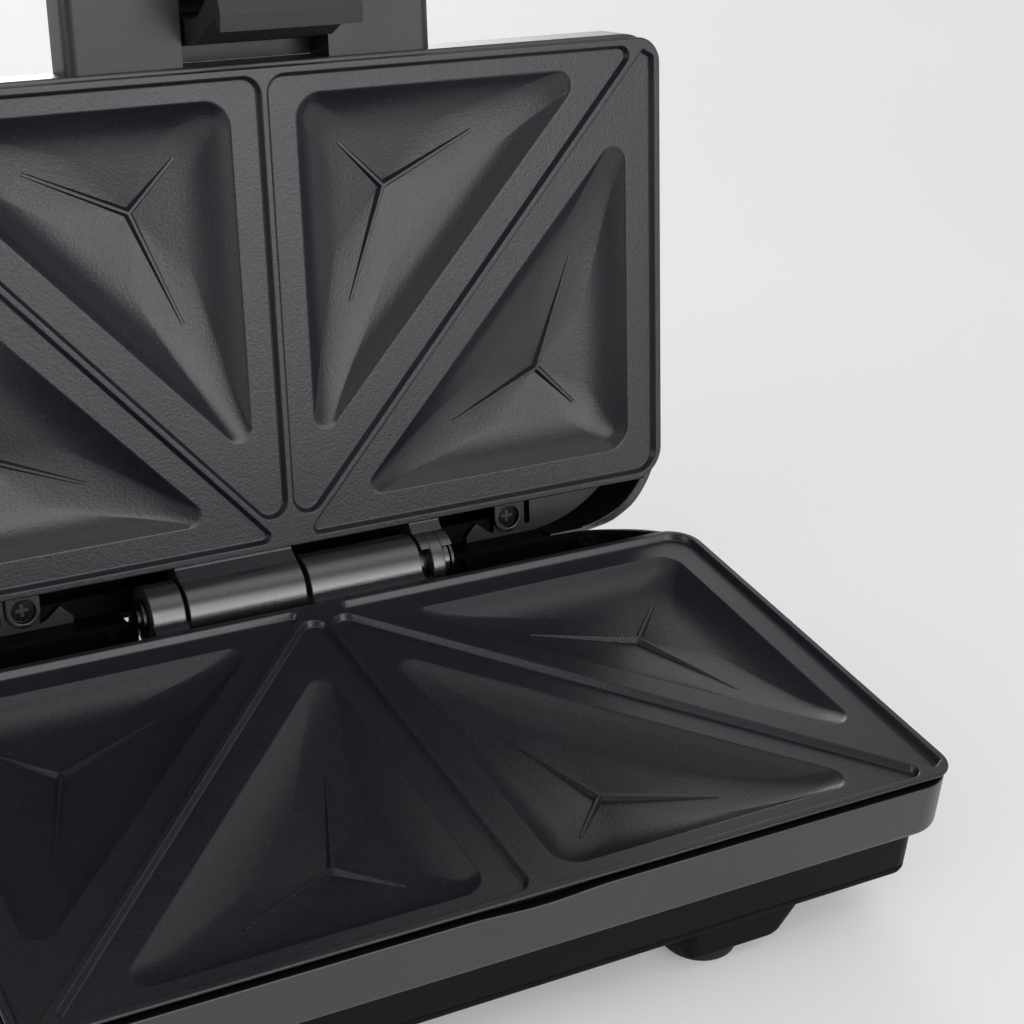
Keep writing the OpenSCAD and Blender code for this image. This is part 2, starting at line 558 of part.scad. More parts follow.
// latch: hooks under the front band; drawn swung free by latch_deg
module latch() {
  color("#262727") swing() translate([0, pv_y, pv_z]) rotate([-latch_deg, 0, 0]) translate([0, -pv_y, -pv_z])
    difference() {
      union() {
        translate([0, pv_y, pv_z]) rod_x(-latch_w / 2, latch_w / 2, 4);
        along_x(-latch_w / 2, latch_w / 2)
          polygon([[pv_y - 4, pv_z], [pv_y + 4, pv_z], [-126.6, 0], [-126.3, -17.3], [-122.6, -17.3],
            [-122.2, -18.4], [-125.4, -20.8], [-131.5, -21.6], [-134.4, -24.6], [-135.8, -23.8],
            [-132.8, -18.4], [-130.8, -6], [-132.4, 0]]);
      }
      translate([0, pv_y, pv_z]) rod_x(-30, 30, 1.55);
    }
}

base_housing();
bottom_cover();
rubber_feet();
lower_plate();
lower_shield();
lower_heater();
lower_terminals();
lower_plate_screws();
lower_shield_screws();
base_case_screws();
base_rear_screws();
thermostat();
thermal_fuse();
terminal_block();
cord_gland();
base_wiring();
hinge_pin();
hinge_clips();
lid_housing();
lid_cover();
lid_handle();
upper_plate();
upper_shield();
upper_heater();
upper_terminals();
upper_plate_screws();
upper_shield_screws();
lid_case_screws();
handle_screws();
power_lens();
ready_lens();
indicator_board();
lid_wiring();
latch_pin();
latch();
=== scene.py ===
import math
import bmesh
import bpy
import numpy as np
from mathutils import Matrix, Vector
from mathutils.geometry import delaunay_2d_cdt


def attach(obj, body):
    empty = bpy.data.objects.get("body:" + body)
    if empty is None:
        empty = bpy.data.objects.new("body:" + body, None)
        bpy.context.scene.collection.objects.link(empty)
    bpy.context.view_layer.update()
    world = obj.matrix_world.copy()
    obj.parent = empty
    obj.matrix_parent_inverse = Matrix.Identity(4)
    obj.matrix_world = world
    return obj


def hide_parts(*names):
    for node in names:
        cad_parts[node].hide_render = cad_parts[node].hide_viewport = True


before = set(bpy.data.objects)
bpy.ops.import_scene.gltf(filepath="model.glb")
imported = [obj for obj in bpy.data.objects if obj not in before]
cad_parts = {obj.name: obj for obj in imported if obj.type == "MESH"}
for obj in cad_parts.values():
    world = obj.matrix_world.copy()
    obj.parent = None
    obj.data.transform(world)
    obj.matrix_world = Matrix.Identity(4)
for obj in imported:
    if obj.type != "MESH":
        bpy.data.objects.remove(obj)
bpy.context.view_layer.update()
D = bpy.data
scene = bpy.context.scene

# ------------------------------------------------------------------ frames
# Shapes are drawn in millimetres in the work frame of the part: x = 0 at the
# centre, y = 0 at the rear edge of the lower plate, z = 0 at its rim.
FY, FZ = 25.573705, 44.0
AY, AZ = 10.9, -1.07
OPEN = math.radians(102.56)
GAP = 0.2


def place(p):
    p = np.array(p, float)
    return (p + np.array([0.0, FY, FZ])) / 1000.0


def swing(p):
    p = np.array(p, float)
    y, z = p[:, 1] - AY, p[:, 2] - AZ
    c, s = math.cos(OPEN), math.sin(OPEN)
    return place(np.stack([p[:, 0], AY + y * c + z * s, AZ - y * s + z * c], 1))


# ------------------------------------------------------------------ camera
F_PX = 2014.285
RV = np.array([2.052460190439693, -0.46478765794131627, 0.37675512551919244])
TV = np.array([-51.70276788275502, 23.8276987238455, 526.9328871611914])
ang = np.linalg.norm(RV)
k = RV / ang
K = np.array([[0, -k[2], k[1]], [k[2], 0, -k[0]], [-k[1], k[0], 0]])
ROT = np.eye(3) + math.sin(ang) * K + (1 - math.cos(ang)) * K @ K
EYE = place([-ROT.T @ TV])[0]
cam_data = D.cameras.new("camera")
cam_data.sensor_width = 36.0
cam_data.lens = F_PX * 36.0 / 1024.0
cam_data.clip_start, cam_data.clip_end = 0.01, 50
cam = D.objects.new("camera", cam_data)
scene.collection.objects.link(cam)
m = Matrix.Identity(4)
for r in range(3):
    m[r][0], m[r][1], m[r][2], m[r][3] = ROT[0][r], -ROT[1][r], -ROT[2][r], EYE[r]
cam.matrix_world = m
scene.camera = cam

# ------------------------------------------------------------------ mesh tools


class Mesh:
    """Vertices and faces that grow piece by piece."""

    def __init__(self):
        self.v, self.f = [], []

    def add(self, v, f):
        b = len(self.v)
        self.v += [tuple(float(c) for c in q) for q in v]
        self.f += [tuple(b + i for i in q) for q in f]
        return self

    def loft(self, rings, wrap=False, cap0=False, cap1=False):
        n, c = len(rings[0]), len(rings)
        v = [q for r in rings for q in r]
        f = []
        for a in range(c if wrap else c - 1):
            b = (a + 1) % c
            f += [(a * n + i, a * n + (i + 1) % n, b * n + (i + 1) % n, b * n + i) for i in range(n)]
        if cap0:
            f.append(tuple(range(n))[::-1])
        if cap1:
            f.append(tuple((c - 1) * n + i for i in range(n)))
        return self.add(v, f)

    def flat(self, loops, z, keep):
        """Fills the space between closed loops at height z; keep tests a triangle's centre."""
        pts, edges = [], []
        for lp in loops:
            b = len(pts)
            pts += [Vector((float(q[0]), float(q[1]))) for q in lp]
            edges += [(b + i, b + (i + 1) % len(lp)) for i in range(len(lp))]
        v, _, f, *_ = delaunay_2d_cdt(pts, edges, [], 0, 1e-7)
        out = []
        for t in f:
            c = sum((v[i] for i in t), Vector((0, 0))) / len(t)
            if keep((c.x, c.y)):
                out.append(tuple(t))
        zz = z if callable(z) else (lambda x, y: z)
        return self.add([(q.x, q.y, zz(q.x, q.y)) for q in v], out)

    def lathe_x(self, prof, cy, cz, seg=96, a0=0.0):
        """prof: closed list of (x, r), turned about the line y = cy, z = cz."""
        rings = []
        for x, r in prof:
            rings.append([(x, cy + r * math.cos(a0 + 2 * math.pi * i / seg), cz + r * math.sin(a0 + 2 * math.pi * i / seg)) for i in range(seg)])
        return self.loft(rings, wrap=True)

    def lathe_z(self, prof, cx, cy, seg=64, wrap=False, caps=True):
        rings = []
        for r, z in prof:
            rings.append([(cx + r * math.cos(2 * math.pi * i / seg), cy + r * math.sin(2 * math.pi * i / seg), z) for i in range(seg)])
        return self.loft(rings, wrap=wrap, cap0=caps and not wrap, cap1=caps and not wrap)

    def prism_x(self, poly, x0, x1):
        n = len(poly)
        v = [(x0, *q) for q in poly] + [(x1, *q) for q in poly]
        f = [(i, (i + 1) % n, n + (i + 1) % n, n + i) for i in range(n)]
        return self.add(v, f + [tuple(range(n))[::-1], tuple(range(n, 2 * n))])

    def mirrored(self):
        return [(-q[0], q[1], q[2]) for q in self.v], [t[::-1] for t in self.f]


def inside(p, loop):
    x, y = p
    c = False
    j = len(loop) - 1
    for i in range(len(loop)):
        xi, yi, xj, yj = loop[i][0], loop[i][1], loop[j][0], loop[j][1]
        if (yi > y) != (yj > y) and x < (xj - xi) * (y - yi) / (yj - yi) + xi:
            c = not c
        j = i
    return c


def unit(v):
    v = np.array(v, float)
    return v / np.linalg.norm(v)


def inset(pts, d):
    """Convex polygon with every side moved in by d."""
    P = [np.array(p, float) for p in pts]
    c = sum(P) / len(P)
    lines = []
    for i in range(len(P)):
        a, b = P[i], P[(i + 1) % len(P)]
        u = unit(b - a)
        nn = np.array([-u[1], u[0]])
        if np.dot(c - a, nn) < 0:
            nn = -nn
        lines.append((a + nn * d, u))
    out = []
    for i in range(len(P)):
        (p, u), (q, w) = lines[i - 1], lines[i]
        s = np.linalg.solve(np.array([[u[0], -w[0]], [u[1], -w[1]]]), q - p)
        out.append(p + u * s[0])
    return out


def rounded(pts, radii, nc=10, ns=1):
    """Closed loop with rounded corners; nc chords a corner and ns pieces a side."""
    P = [np.array(p, float) for p in pts]
    m_, arcs = len(P), []
    for i in range(m_):
        p0, p1, p2 = P[i - 1], P[i], P[(i + 1) % m_]
        r = max(radii[i], 1e-3)
        u, v = unit(p0 - p1), unit(p2 - p1)
        half = math.acos(max(-1, min(1, float(np.dot(u, v))))) / 2
        d = r / math.tan(half)
        c = p1 + unit(u + v) * r / math.sin(half)
        s, e = p1 + u * d, p1 + v * d
        a0 = math.atan2(s[1] - c[1], s[0] - c[0])
        a1 = math.atan2(e[1] - c[1], e[0] - c[0])
        dd = (a1 - a0 + math.pi) % (2 * math.pi) - math.pi
        arcs.append([c + r * np.array([math.cos(a0 + dd * j / nc), math.sin(a0 + dd * j / nc)]) for j in range(nc + 1)])
    out = []
    for i in range(m_):
        out += arcs[i]
        a, b = arcs[i][-1], arcs[(i + 1) % m_][0]
        out += [a + (b - a) * j / ns for j in range(1, ns)]
    return out


def fillet(p0, p1, p2, r, n=6):
    """Points of a rounded corner of an open profile."""
    p0, p1, p2 = (np.array(q, float) for q in (p0, p1, p2))
    u, v = unit(p0 - p1), unit(p2 - p1)
    half = math.acos(max(-1, min(1, float(np.dot(u, v))))) / 2
    d = r / math.tan(half)
    c = p1 + unit(u + v) * r / math.sin(half)
    s, e = p1 + u * d, p1 + v * d
    a0, a1 = math.atan2(*(s - c)[::-1]), math.atan2(*(e - c)[::-1])
    dd = (a1 - a0 + math.pi) % (2 * math.pi) - math.pi
    return [tuple(c + r * np.array([math.cos(a0 + dd * j / n), math.sin(a0 + dd * j / n)])) for j in range(n + 1)]


def soften(poly, radii, n=5, closed=True):
    out = []
    m_ = len(poly)
    for i in range(m_):
        r = radii[i] if isinstance(radii, (list, tuple)) else radii
        if r <= 0 or (not closed and i in (0, m_ - 1)):
            out.append(tuple(poly[i]))
        else:
            out += fillet(poly[i - 1], poly[i], poly[(i + 1) % m_], r, n)
    return out


def piece(name, mesh, body, material, lid=False, sharp=32, bevel=0.0, segs=2, weighted=True, clean=True):
    """A Blender object from a Mesh, in place, riding on its body."""
    pts = swing(mesh.v) if lid else place(mesh.v)
    me = D.meshes.new(name)
    me.from_pydata(pts.tolist(), [], mesh.f)
    bm = bmesh.new()
    bm.from_mesh(me)
    if clean:
        bmesh.ops.remove_doubles(bm, verts=bm.verts, dist=2e-6)
    bmesh.ops.recalc_face_normals(bm, faces=bm.faces)
    bm.to_mesh(me)
    bm.free()
    for p in me.polygons:
        p.use_smooth = True
    me.set_sharp_from_angle(angle=math.radians(sharp))
    ob = D.objects.new(name, me)
    scene.collection.objects.link(ob)
    me.materials.append(material)
    if bevel:
        b = ob.modifiers.new("edges", "BEVEL")
        b.width, b.segments, b.limit_method = bevel / 1000, segs, "ANGLE"
        b.angle_limit = math.radians(35)
        b.harden_normals = False
    if weighted:
        w = ob.modifiers.new("normals", "WEIGHTED_NORMAL")
        w.keep_sharp = True
    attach(ob, body)
    return ob


# ------------------------------------------------------------------ materials


def material(name, dark, light, rough, grain=2500.0, bump=0.02, blotch=60.0, spread=0.5, rvar=0.06,
             metallic=0.0, spec=0.5, coat=0.0, coat_rough=0.1, sparkle=0.0, sparkle_scale=2600.0,
             transmission=0.0, emit=0.0, bump2=0.0, grain2=400.0):
    """Procedural material: two close colours in soft blotches, a fine grain in bump and roughness."""
    mt = D.materials.new(name)
    mt.use_nodes = True
    nt = mt.node_tree
    N, L = nt.nodes, nt.links
    bs = N["Principled BSDF"]
    bs.inputs["Metallic"].default_value = metallic
    bs.inputs["Specular IOR Level"].default_value = spec
    bs.inputs["Coat Weight"].default_value = coat
    bs.inputs["Coat Roughness"].default_value = coat_rough
    if transmission:
        bs.inputs["Transmission Weight"].default_value = transmission
    tc = N.new("ShaderNodeTexCoord")
    fine = N.new("ShaderNodeTexNoise")
    fine.inputs["Scale"].default_value = grain
    fine.inputs["Detail"].default_value = 3
    fine.inputs["Roughness"].default_value = 0.6
    big = N.new("ShaderNodeTexNoise")
    big.inputs["Scale"].default_value = blotch
    big.inputs["Detail"].default_value = 4
    L.new(tc.outputs["Object"], fine.inputs["Vector"])
    L.new(tc.outputs["Object"], big.inputs["Vector"])
    add = N.new("ShaderNodeMath")
    add.operation = "MULTIPLY_ADD"
    L.new(fine.outputs["Fac"], add.inputs[0])
    add.inputs[1].default_value = 1 - spread
    half = N.new("ShaderNodeMath")
    half.operation = "MULTIPLY"
    L.new(big.outputs["Fac"], half.inputs[0])
    half.inputs[1].default_value = spread
    L.new(half.outputs[0], add.inputs[2])
    ramp = N.new("ShaderNodeValToRGB")
    ramp.color_ramp.elements[0].position, ramp.color_ramp.elements[0].color = 0.35, (*dark, 1)
    ramp.color_ramp.elements[1].position, ramp.color_ramp.elements[1].color = 0.65, (*light, 1)
    L.new(add.outputs[0], ramp.inputs["Fac"])
    col = ramp.outputs["Color"]
    if sparkle:
        sp = N.new("ShaderNodeTexNoise")
        sp.inputs["Scale"].default_value = sparkle_scale
        sp.inputs["Detail"].default_value = 1
        L.new(tc.outputs["Object"], sp.inputs["Vector"])
        mr = N.new("ShaderNodeMapRange")
        mr.inputs["From Min"].default_value, mr.inputs["From Max"].default_value = 0.6, 0.74
        mr.inputs["To Min"].default_value, mr.inputs["To Max"].default_value = 0.0, sparkle
        L.new(sp.outputs["Fac"], mr.inputs["Value"])
        mx = N.new("ShaderNodeMix")
        mx.data_type = "RGBA"
        L.new(mr.outputs[0], mx.inputs["Factor"])
        L.new(col, mx.inputs[6])
        mx.inputs[7].default_value = (0.45, 0.45, 0.48, 1)
        col = mx.outputs[2]
    L.new(col, bs.inputs["Base Color"])
    rr = N.new("ShaderNodeMapRange")
    rr.inputs["From Min"].default_value, rr.inputs["From Max"].default_value = 0.3, 0.7
    rr.inputs["To Min"].default_value = max(0.02, rough - rvar)
    rr.inputs["To Max"].default_value = min(1.0, rough + rvar)
    L.new(add.outputs[0], rr.inputs["Value"])
    L.new(rr.outputs[0], bs.inputs["Roughness"])
    bp = N.new("ShaderNodeBump")
    bp.inputs["Strength"].default_value = 1.0
    bp.inputs["Distance"].default_value = bump / 1000
    L.new(fine.outputs["Fac"], bp.inputs["Height"])
    last = bp
    if bump2:
        n2 = N.new("ShaderNodeTexNoise")
        n2.inputs["Scale"].default_value = grain2
        n2.inputs["Detail"].default_value = 2
        L.new(tc.outputs["Object"], n2.inputs["Vector"])
        b2 = N.new("ShaderNodeBump")
        b2.inputs["Strength"].default_value = 1.0
        b2.inputs["Distance"].default_value = bump2 / 1000
        L.new(n2.outputs["Fac"], b2.inputs["Height"])
        L.new(bp.outputs["Normal"], b2.inputs["Normal"])
        last = b2
    L.new(last.outputs["Normal"], bs.inputs["Normal"])
    if emit:
        L.new(col, bs.inputs["Emission Color"])
        bs.inputs["Emission Strength"].default_value = emit
    return mt


def grey(v, b=1.0):
    return (v, v, v * b)


M = {}
M["plate"] = material("nonstick_coating", grey(0.0090, 1.45), grey(0.0135, 1.45), 0.33, grain=2600, bump=0.016, blotch=45,
                      spread=0.35, rvar=0.05, spec=0.5, sparkle=0.055, sparkle_scale=2200, bump2=0.055, grain2=1350)
# Lighter copy of the plate coating for the turned barrel faces: painted highlight.
M["barrel"] = material("barrel_coating_lit_copy", grey(0.013, 1.2), grey(0.019, 1.2), 0.25, grain=2600, bump=0.012, blotch=45,
                       spread=0.35, rvar=0.04, spec=1.0, sparkle=0.03, sparkle_scale=2300, bump2=0.010, grain2=700)
M["band"] = material("satin_housing", grey(0.031), grey(0.038), 0.34, grain=3200, bump=0.005, blotch=30, rvar=0.03, spec=0.5,
                     bump2=0.004, grain2=500)
# Much darker copy of the housing plastic: painted shade for the inside faces of both housings.
M["inner"] = material("housing_painted_shade", grey(0.0028), grey(0.0042), 0.55, grain=2200, bump=0.02, blotch=60, rvar=0.05, spec=0.07)
M["base"] = material("moulded_black", grey(0.005), grey(0.0075), 0.46, grain=2600, bump=0.02, blotch=60, rvar=0.05, spec=0.07)
M["bottom"] = material("moulded_bottom", grey(0.0036), grey(0.0056), 0.55, grain=2200, bump=0.025, blotch=60, rvar=0.05, spec=0.08)
M["cover"] = material("lid_panel", grey(0.013), grey(0.019), 0.46, grain=3000, bump=0.010, blotch=30, rvar=0.03, spec=0.4, coat=0.05)
M["handle"] = material("handle_grip", grey(0.012), grey(0.018), 0.42, grain=2000, bump=0.02, blotch=60, rvar=0.05)
M["rubber"] = material("foot_rubber", grey(0.009), grey(0.013), 0.78, grain=1800, bump=0.03, blotch=90, rvar=0.06, spec=0.3)
M["steel"] = material("sheet_steel", grey(0.42), grey(0.50), 0.32, grain=1600, bump=0.006, blotch=80, metallic=1.0)
M["element"] = material("element_sheath", (0.10, 0.09, 0.08), (0.15, 0.14, 0.13), 0.45, grain=1500, bump=0.02, metallic=0.8)
M["ceramic"] = material("ceramic", (0.62, 0.59, 0.52), (0.72, 0.69, 0.62), 0.5, grain=1500, bump=0.01)
M["screw"] = material("screw_steel", grey(0.10), grey(0.16), 0.36, grain=2400, bump=0.01, blotch=200, metallic=0.9)
M["screw_dark"] = material("screw_black_oxide", grey(0.013), grey(0.022), 0.24, grain=2400, bump=0.01, blotch=200, metallic=0.7)
M["pin"] = material("pin_steel", grey(0.05), grey(0.08), 0.36, grain=2400, bump=0.006, blotch=150, metallic=1.0)
M["stat"] = material("thermostat_body", (0.45, 0.36, 0.24), (0.52, 0.43, 0.30), 0.5, grain=1200, bump=0.02)
M["block"] = material("terminal_block", (0.66, 0.63, 0.55), (0.74, 0.71, 0.64), 0.42, grain=1200, bump=0.01)
M["fuse"] = material("fuse_body", (0.58, 0.54, 0.47), (0.68, 0.65, 0.58), 0.4, grain=1500, bump=0.01)
M["wire"] = material("wire_sleeve", (0.50, 0.16, 0.04), (0.62, 0.22, 0.06), 0.55, grain=2600, bump=0.05)
M["gland"] = material("gland", grey(0.012), grey(0.02), 0.5, grain=1800, bump=0.02)
M["red"] = material("lens_red", (0.40, 0.012, 0.008), (0.55, 0.02, 0.012), 0.16, grain=900, bump=0.002, blotch=200, rvar=0.02,
                    transmission=0.35, coat=0.4)
M["green"] = material("lens_green", (0.012, 0.30, 0.03), (0.02, 0.42, 0.05), 0.16, grain=900, bump=0.002, blotch=200, rvar=0.02,
                      transmission=0.35, coat=0.4)
M["board"] = material("circuit_board", (0.02, 0.10, 0.04), (0.03, 0.14, 0.06), 0.4, grain=900, bump=0.01)

# ------------------------------------------------------------------ grill plates
# Outlines in (x, v) with v = -y; one half, the other is its mirror image.
HW, PD = 115.0, 124.5
RIM, LAND = 1.8, 1.6
KD = unit((0.6637, 0.748))
KN = np.array([-KD[1], KD[0]])
C0 = np.array([0.9, 0.0])
A0, B0 = C0 + KN * 0.5, C0 - KN * 0.5


def line_v(p, v):
    return p + KD * ((v - p[1]) / KD[1])


def line_x(p, x):
    return p + KD * ((x - p[0]) / KD[0])


PAD_A = [line_x(A0, 0.5), (0.5, PD - LAND), line_v(A0, PD - LAND)]
PAD_B = [line_v(B0, LAND), (HW - LAND, LAND), (HW - LAND, 119.5), line_v(B0, 121.8)]
TRI_A = [(8.4, 23.7), (8.4, 117.6), (94.3, 117.6)]
TRI_B = [(105.2, 103.1), (105.2, 9.2), (19.3, 9.2)]
R_A = [3.6, 7.0, 4.4]
R_B = [4.4, 6.8, 3.2]
CEN_A, CEN_B = (34.5, 91.0), (78.95, 35.6)
ARMS_A = [(23.2, 62.0), (22.3, 103.3), (60.0, 103.1)]
ARMS_B = [(89.8, 66.4), (90.1, 24.3), (52.2, 24.5)]
R_IN = 26.3
CREST = -7.6


def pit_slope(s):
    """Steepness of a pocket's wall at distance s from its outline."""
    g0, g1 = 1.0, 0.10
    if s < 0.8:
        t = s / 0.8
        return g0 * t * t * (3 - 2 * t)
    t = min(1.0, max(0.0, (s - 1.5) / 13.5))
    return g1 + (g0 - g1) * (1 - t) ** 2.2


PIT_S = [0, .12, .26, .4, .55, .7, .85, 1.05, 1.4, 1.9, 2.4, 2.9, 3.4, 4, 4.6, 5.2, 5.8, 6.4, 7, 7.7, 8.5, 9.5, 10.6, 11.8, 13.2, 15, 17, 19, 21, 23, 24.6, 25.7]
PIT_Z = [-RIM]
for a_, b_ in zip(PIT_S, PIT_S[1:]):
    st = 12
    PIT_Z.append(PIT_Z[-1] - sum(pit_slope(a_ + (b_ - a_) * (j + 0.5) / st) for j in range(st)) * (b_ - a_) / st)

# wall of a pad: (distance in from its top outline, height)
WA = math.radians(66)
R1, R2 = 0.38, 0.5
x1, z1 = R1 * math.sin(WA), -R1 * (1 - math.cos(WA))
z2 = -RIM + R2 * (1 - math.cos(WA))
x2 = x1 + (z1 - z2) / math.tan(WA)
WALL = [(R1 * math.sin(WA * j / 4), -R1 * (1 - math.cos(WA * j / 4))) for j in range(5)]
WALL += [(x2 + R2 * (math.sin(WA) - math.sin(WA * (1 - j / 4))), z2 - R2 * (math.cos(WA * (1 - j / 4)) - math.cos(WA))) for j in range(5)]
WALL_W = WALL[-1][0]


def plate_mesh(upper):
    """The casting in its own frame, rim at z = 0, y = -v; sgn says which side the barrel is on."""
    g = Mesh()
    sgn = -1 if upper else 1
    # outer edge, from the land over the rounded edge to the lower flange
    outer = [(-HW, 0.0), (HW, 0.0), (HW, -PD), (-HW, -PD)]
    rad = [9.0, 9.0, 7.0, 7.0]
    prof = [(0.42 * (1 - math.sin(a)), -0.42 * (1 - math.cos(a))) for a in np.linspace(0, math.pi / 2, 6)]
    prof += [(0.0, -0.62), (0.06, -0.76), (0.25, -0.86), (1.9, -0.9), (2.1, -1.2), (2.6, -12.4), (3.2, -12.7)]
    rings = []
    for d, z in prof:
        lp = rounded(inset(outer, d) if d > 0 else outer, [max(r - d, 0.6) for r in rad], 14)
        rings.append([(q[0], q[1], z) for q in lp])
    g.loft(rings, cap1=True)
    land_outer = [q[:2] for q in rings[0]]
    holes = []
    rA = [4.8 if upper else 4.1, 5.0, 3.0]
    rB = [2.34, 6.5, 1.5, 1.0]
    for pad, rr_, tri, tr, cen, arms in ((PAD_A, rA, TRI_A, R_A, CEN_A, ARMS_A), (PAD_B, rB, TRI_B, R_B, CEN_B, ARMS_B)):
        h = Mesh()
        loops = []
        for s, z in WALL:
            poly = inset(pad, s) if s > 0 else pad
            lp = rounded(poly, [max(r - s, 0.12) for r in rr_], 10)
            loops.append([(q[0], -q[1], z) for q in lp])
        h.loft(loops)
        top = [q[:2] for q in loops[0]]
        pad_floor = [q[:2] for q in loops[-1]]
        pit = []
        for s, z in zip(PIT_S, PIT_Z):
            rr2 = []
            for j, r0 in enumerate(tr):
                soft = 3.6 + 0.5 * s
                r = max(r0 - 0.6 * s, soft) if r0 > soft else r0 + (soft - r0) * min(1, s / 6)
                rr2.append(min(r, 0.62 * (R_IN - s)))
            lp = rounded(inset(tri, s) if s > 0 else tri, rr2, 12)
            pit.append([(q[0], -q[1], z) for q in lp])
        h.loft(pit)
        n = len(pit[-1])
        cx = sum(q[0] for q in pit[-1]) / n
        cy = sum(q[1] for q in pit[-1]) / n
        h.add(pit[-1] + [(cx, cy, PIT_Z[-1] - 0.05)], [(i, (i + 1) % n, n) for i in range(n)])
        mouth = [q[:2] for q in pit[0]]
        h.flat([pad_floor, mouth], -RIM, lambda c, a=pad_floor, b=mouth: inside(c, a) and not inside(c, b))
        # three-armed rib: a thin crest that the floor rises to at the ends
        for e in arms:
            c2, e2 = np.array([cen[0], -cen[1]]), np.array([e[0], -e[1]])
            u = unit(e2 - c2)
            w = np.array([-u[1], u[0]])
            a, b = c2, e2 + u * 0.3
            zb = -11.2
            half = 0.46 + (CREST - 0.12 - zb) / 1.9

            def section(p_, zc):
                sec = [(-half, zb), (-0.46, zc - 0.12), (-0.32, zc), (0.32, zc), (0.46, zc - 0.12), (half, zb)]
                return [(*(p_ + w * q), z) for q, z in sec]
            sec = range(6)
            near = min((q for lp in pit for q in lp), key=lambda q: math.hypot(q[0] - b[0], q[1] - b[1]))
            v0, v1 = section(a, CREST - 0.1), section(b, max(CREST - 0.1, near[2] + 0.22))
            # the inner end is a point below the floor, so the arms join in a clean peak
            kk = len(sec)
            h.add(v0 + v1, [(i, (i + 1) % kk, kk + (i + 1) % kk, kk + i) for i in range(kk)] + [tuple(range(kk))[::-1], tuple(range(kk, 2 * kk))])
        g.add(h.v, h.f)
        g.add(*h.mirrored())
        holes.append(top)
        holes.append([(-q[0], q[1]) for q in top])
    g.flat([land_outer] + holes, 0.0, lambda c: inside(c, land_outer) and not any(inside(c, hh) for hh in holes))
    return g


def tube(g, outer, hole, x0, x1):
    """Prism along x from a (y, z) outline with a hole."""
    h = Mesh()
    h.flat([outer, hole], 0.0, lambda c: inside(c, outer) and not inside(c, hole))
    for x in (x0, x1):
        g.add([(x, q[0], q[1]) for q in h.v], h.f)
    for lp in (outer, hole):
        g.loft([[(x, q[0], q[1]) for q in lp] for x in (x0, x1)])


def barrel_mesh(upper):
    """Cast hinge barrel, its narrow knuckle and the webs that carry them, in the plate's own frame."""
    g = Mesh()
    az = AZ if not upper else GAP - AZ
    rb, rp = 8.2, 3.05
    spans = [(-33.0, -0.6, 1), (36.2, 40.0, 0), (33.9, 42.9, 2)] if upper else [(0.6, 33.0, 1), (-42.9, -33.9, 0), (-42.9, -33.9, 2)]
    for a, b, kind in spans:
        c = 0.35
        if kind < 2:
            g.lathe_x([(a, rp), (a, rb - c), (a + c * 0.3, rb - c * 0.3), (a + c, rb), (b - c, rb), (b - c * 0.3, rb - c * 0.3), (b, rb - c), (b, rp)], AY, az, 120)
        if kind != 0:
            hi = 0.7 if not upper else (3.2 if kind == 1 else 1.6)
            start = -0.3
            poly = [(-1.4, -4.6), (-1.4, start), (0.25, start), (0.6, start + 0.1), (2.95, hi), (AY - 3, az + 2.0), (AY - 3, az - 4.0), (4, -6.8), (0, -5.2)]
            g.prism_x(soften(poly, [0, 0, 0, 0, 0, 0, 0, 1.5, 1.5], 4), a + 0.05, b - 0.05)
    if upper:
        # the knuckle's ends are cut away at the front, down to a sleeve round the pin
        co, so = math.cos(OPEN), math.sin(OPEN)
        ledge = math.asin(6.7 / rb)
        arc = [(-rb * math.cos(t), rb * math.sin(t)) for t in np.linspace(ledge, 1.5 * math.pi, 60)]
        arc += [(-4.6 * math.cos(t), 4.6 * math.sin(t)) for t in np.linspace(-math.pi / 2, math.pi / 2, 24)] + [(0, 6.7)]
        hole = [(rp * math.cos(t), rp * math.sin(t)) for t in np.linspace(0, 2 * math.pi, 40, endpoint=False)]

        def own(q):
            return (AY + q[0] * co - q[1] * so, az - q[0] * so - q[1] * co)
        for x0, x1 in ((33.9, 36.3), (39.9, 42.9)):
            tube(g, [own(q) for q in arc], [own(q) for q in hole], x0, x1)
    return g


def boss_mesh():
    g = Mesh()
    for x, y in ((56.8, -63.4), (-56.8, -63.4), (0, -64), (0, -12)):
        g.lathe_z([(1.65, -9.4), (1.65, -19.4), (3.7, -19.4), (4.0, -19.1), (4.6, -12.0), (1.65, -9.4)], x, y, 32, wrap=True)
    for x, y in ((103.5, -113.5), (-103.5, -113.5), (103.5, -12), (-103.5, -12)):
        g.lathe_z([(1.65, -6.4), (1.65, -13.8), (3.7, -13.8), (4.0, -13.5), (4.4, -12.0), (1.65, -6.4)], x, y, 32, wrap=True)
    return g


def flip(mesh):
    out = Mesh()
    out.v = [(x, y, GAP - z) for x, y, z in mesh.v]
    out.f = [t[::-1] for t in mesh.f]
    return out


barrels = []
for upper, tag, body in ((False, "lower", "base"), (True, "upper", "lid")):
    src = [("plate_casting", plate_mesh(upper), 40), ("plate_barrels", barrel_mesh(upper), 32), ("plate_bosses", boss_mesh(), 32)]
    for nm, g, sh in src:
        ob = piece(tag + "_" + nm, flip(g) if upper else g, body, M["barrel" if "barrels" in nm else "plate"], lid=upper, sharp=sh)
        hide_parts(tag + "_plate")
        if "barrels" in nm:
            barrels.append((ob, upper))

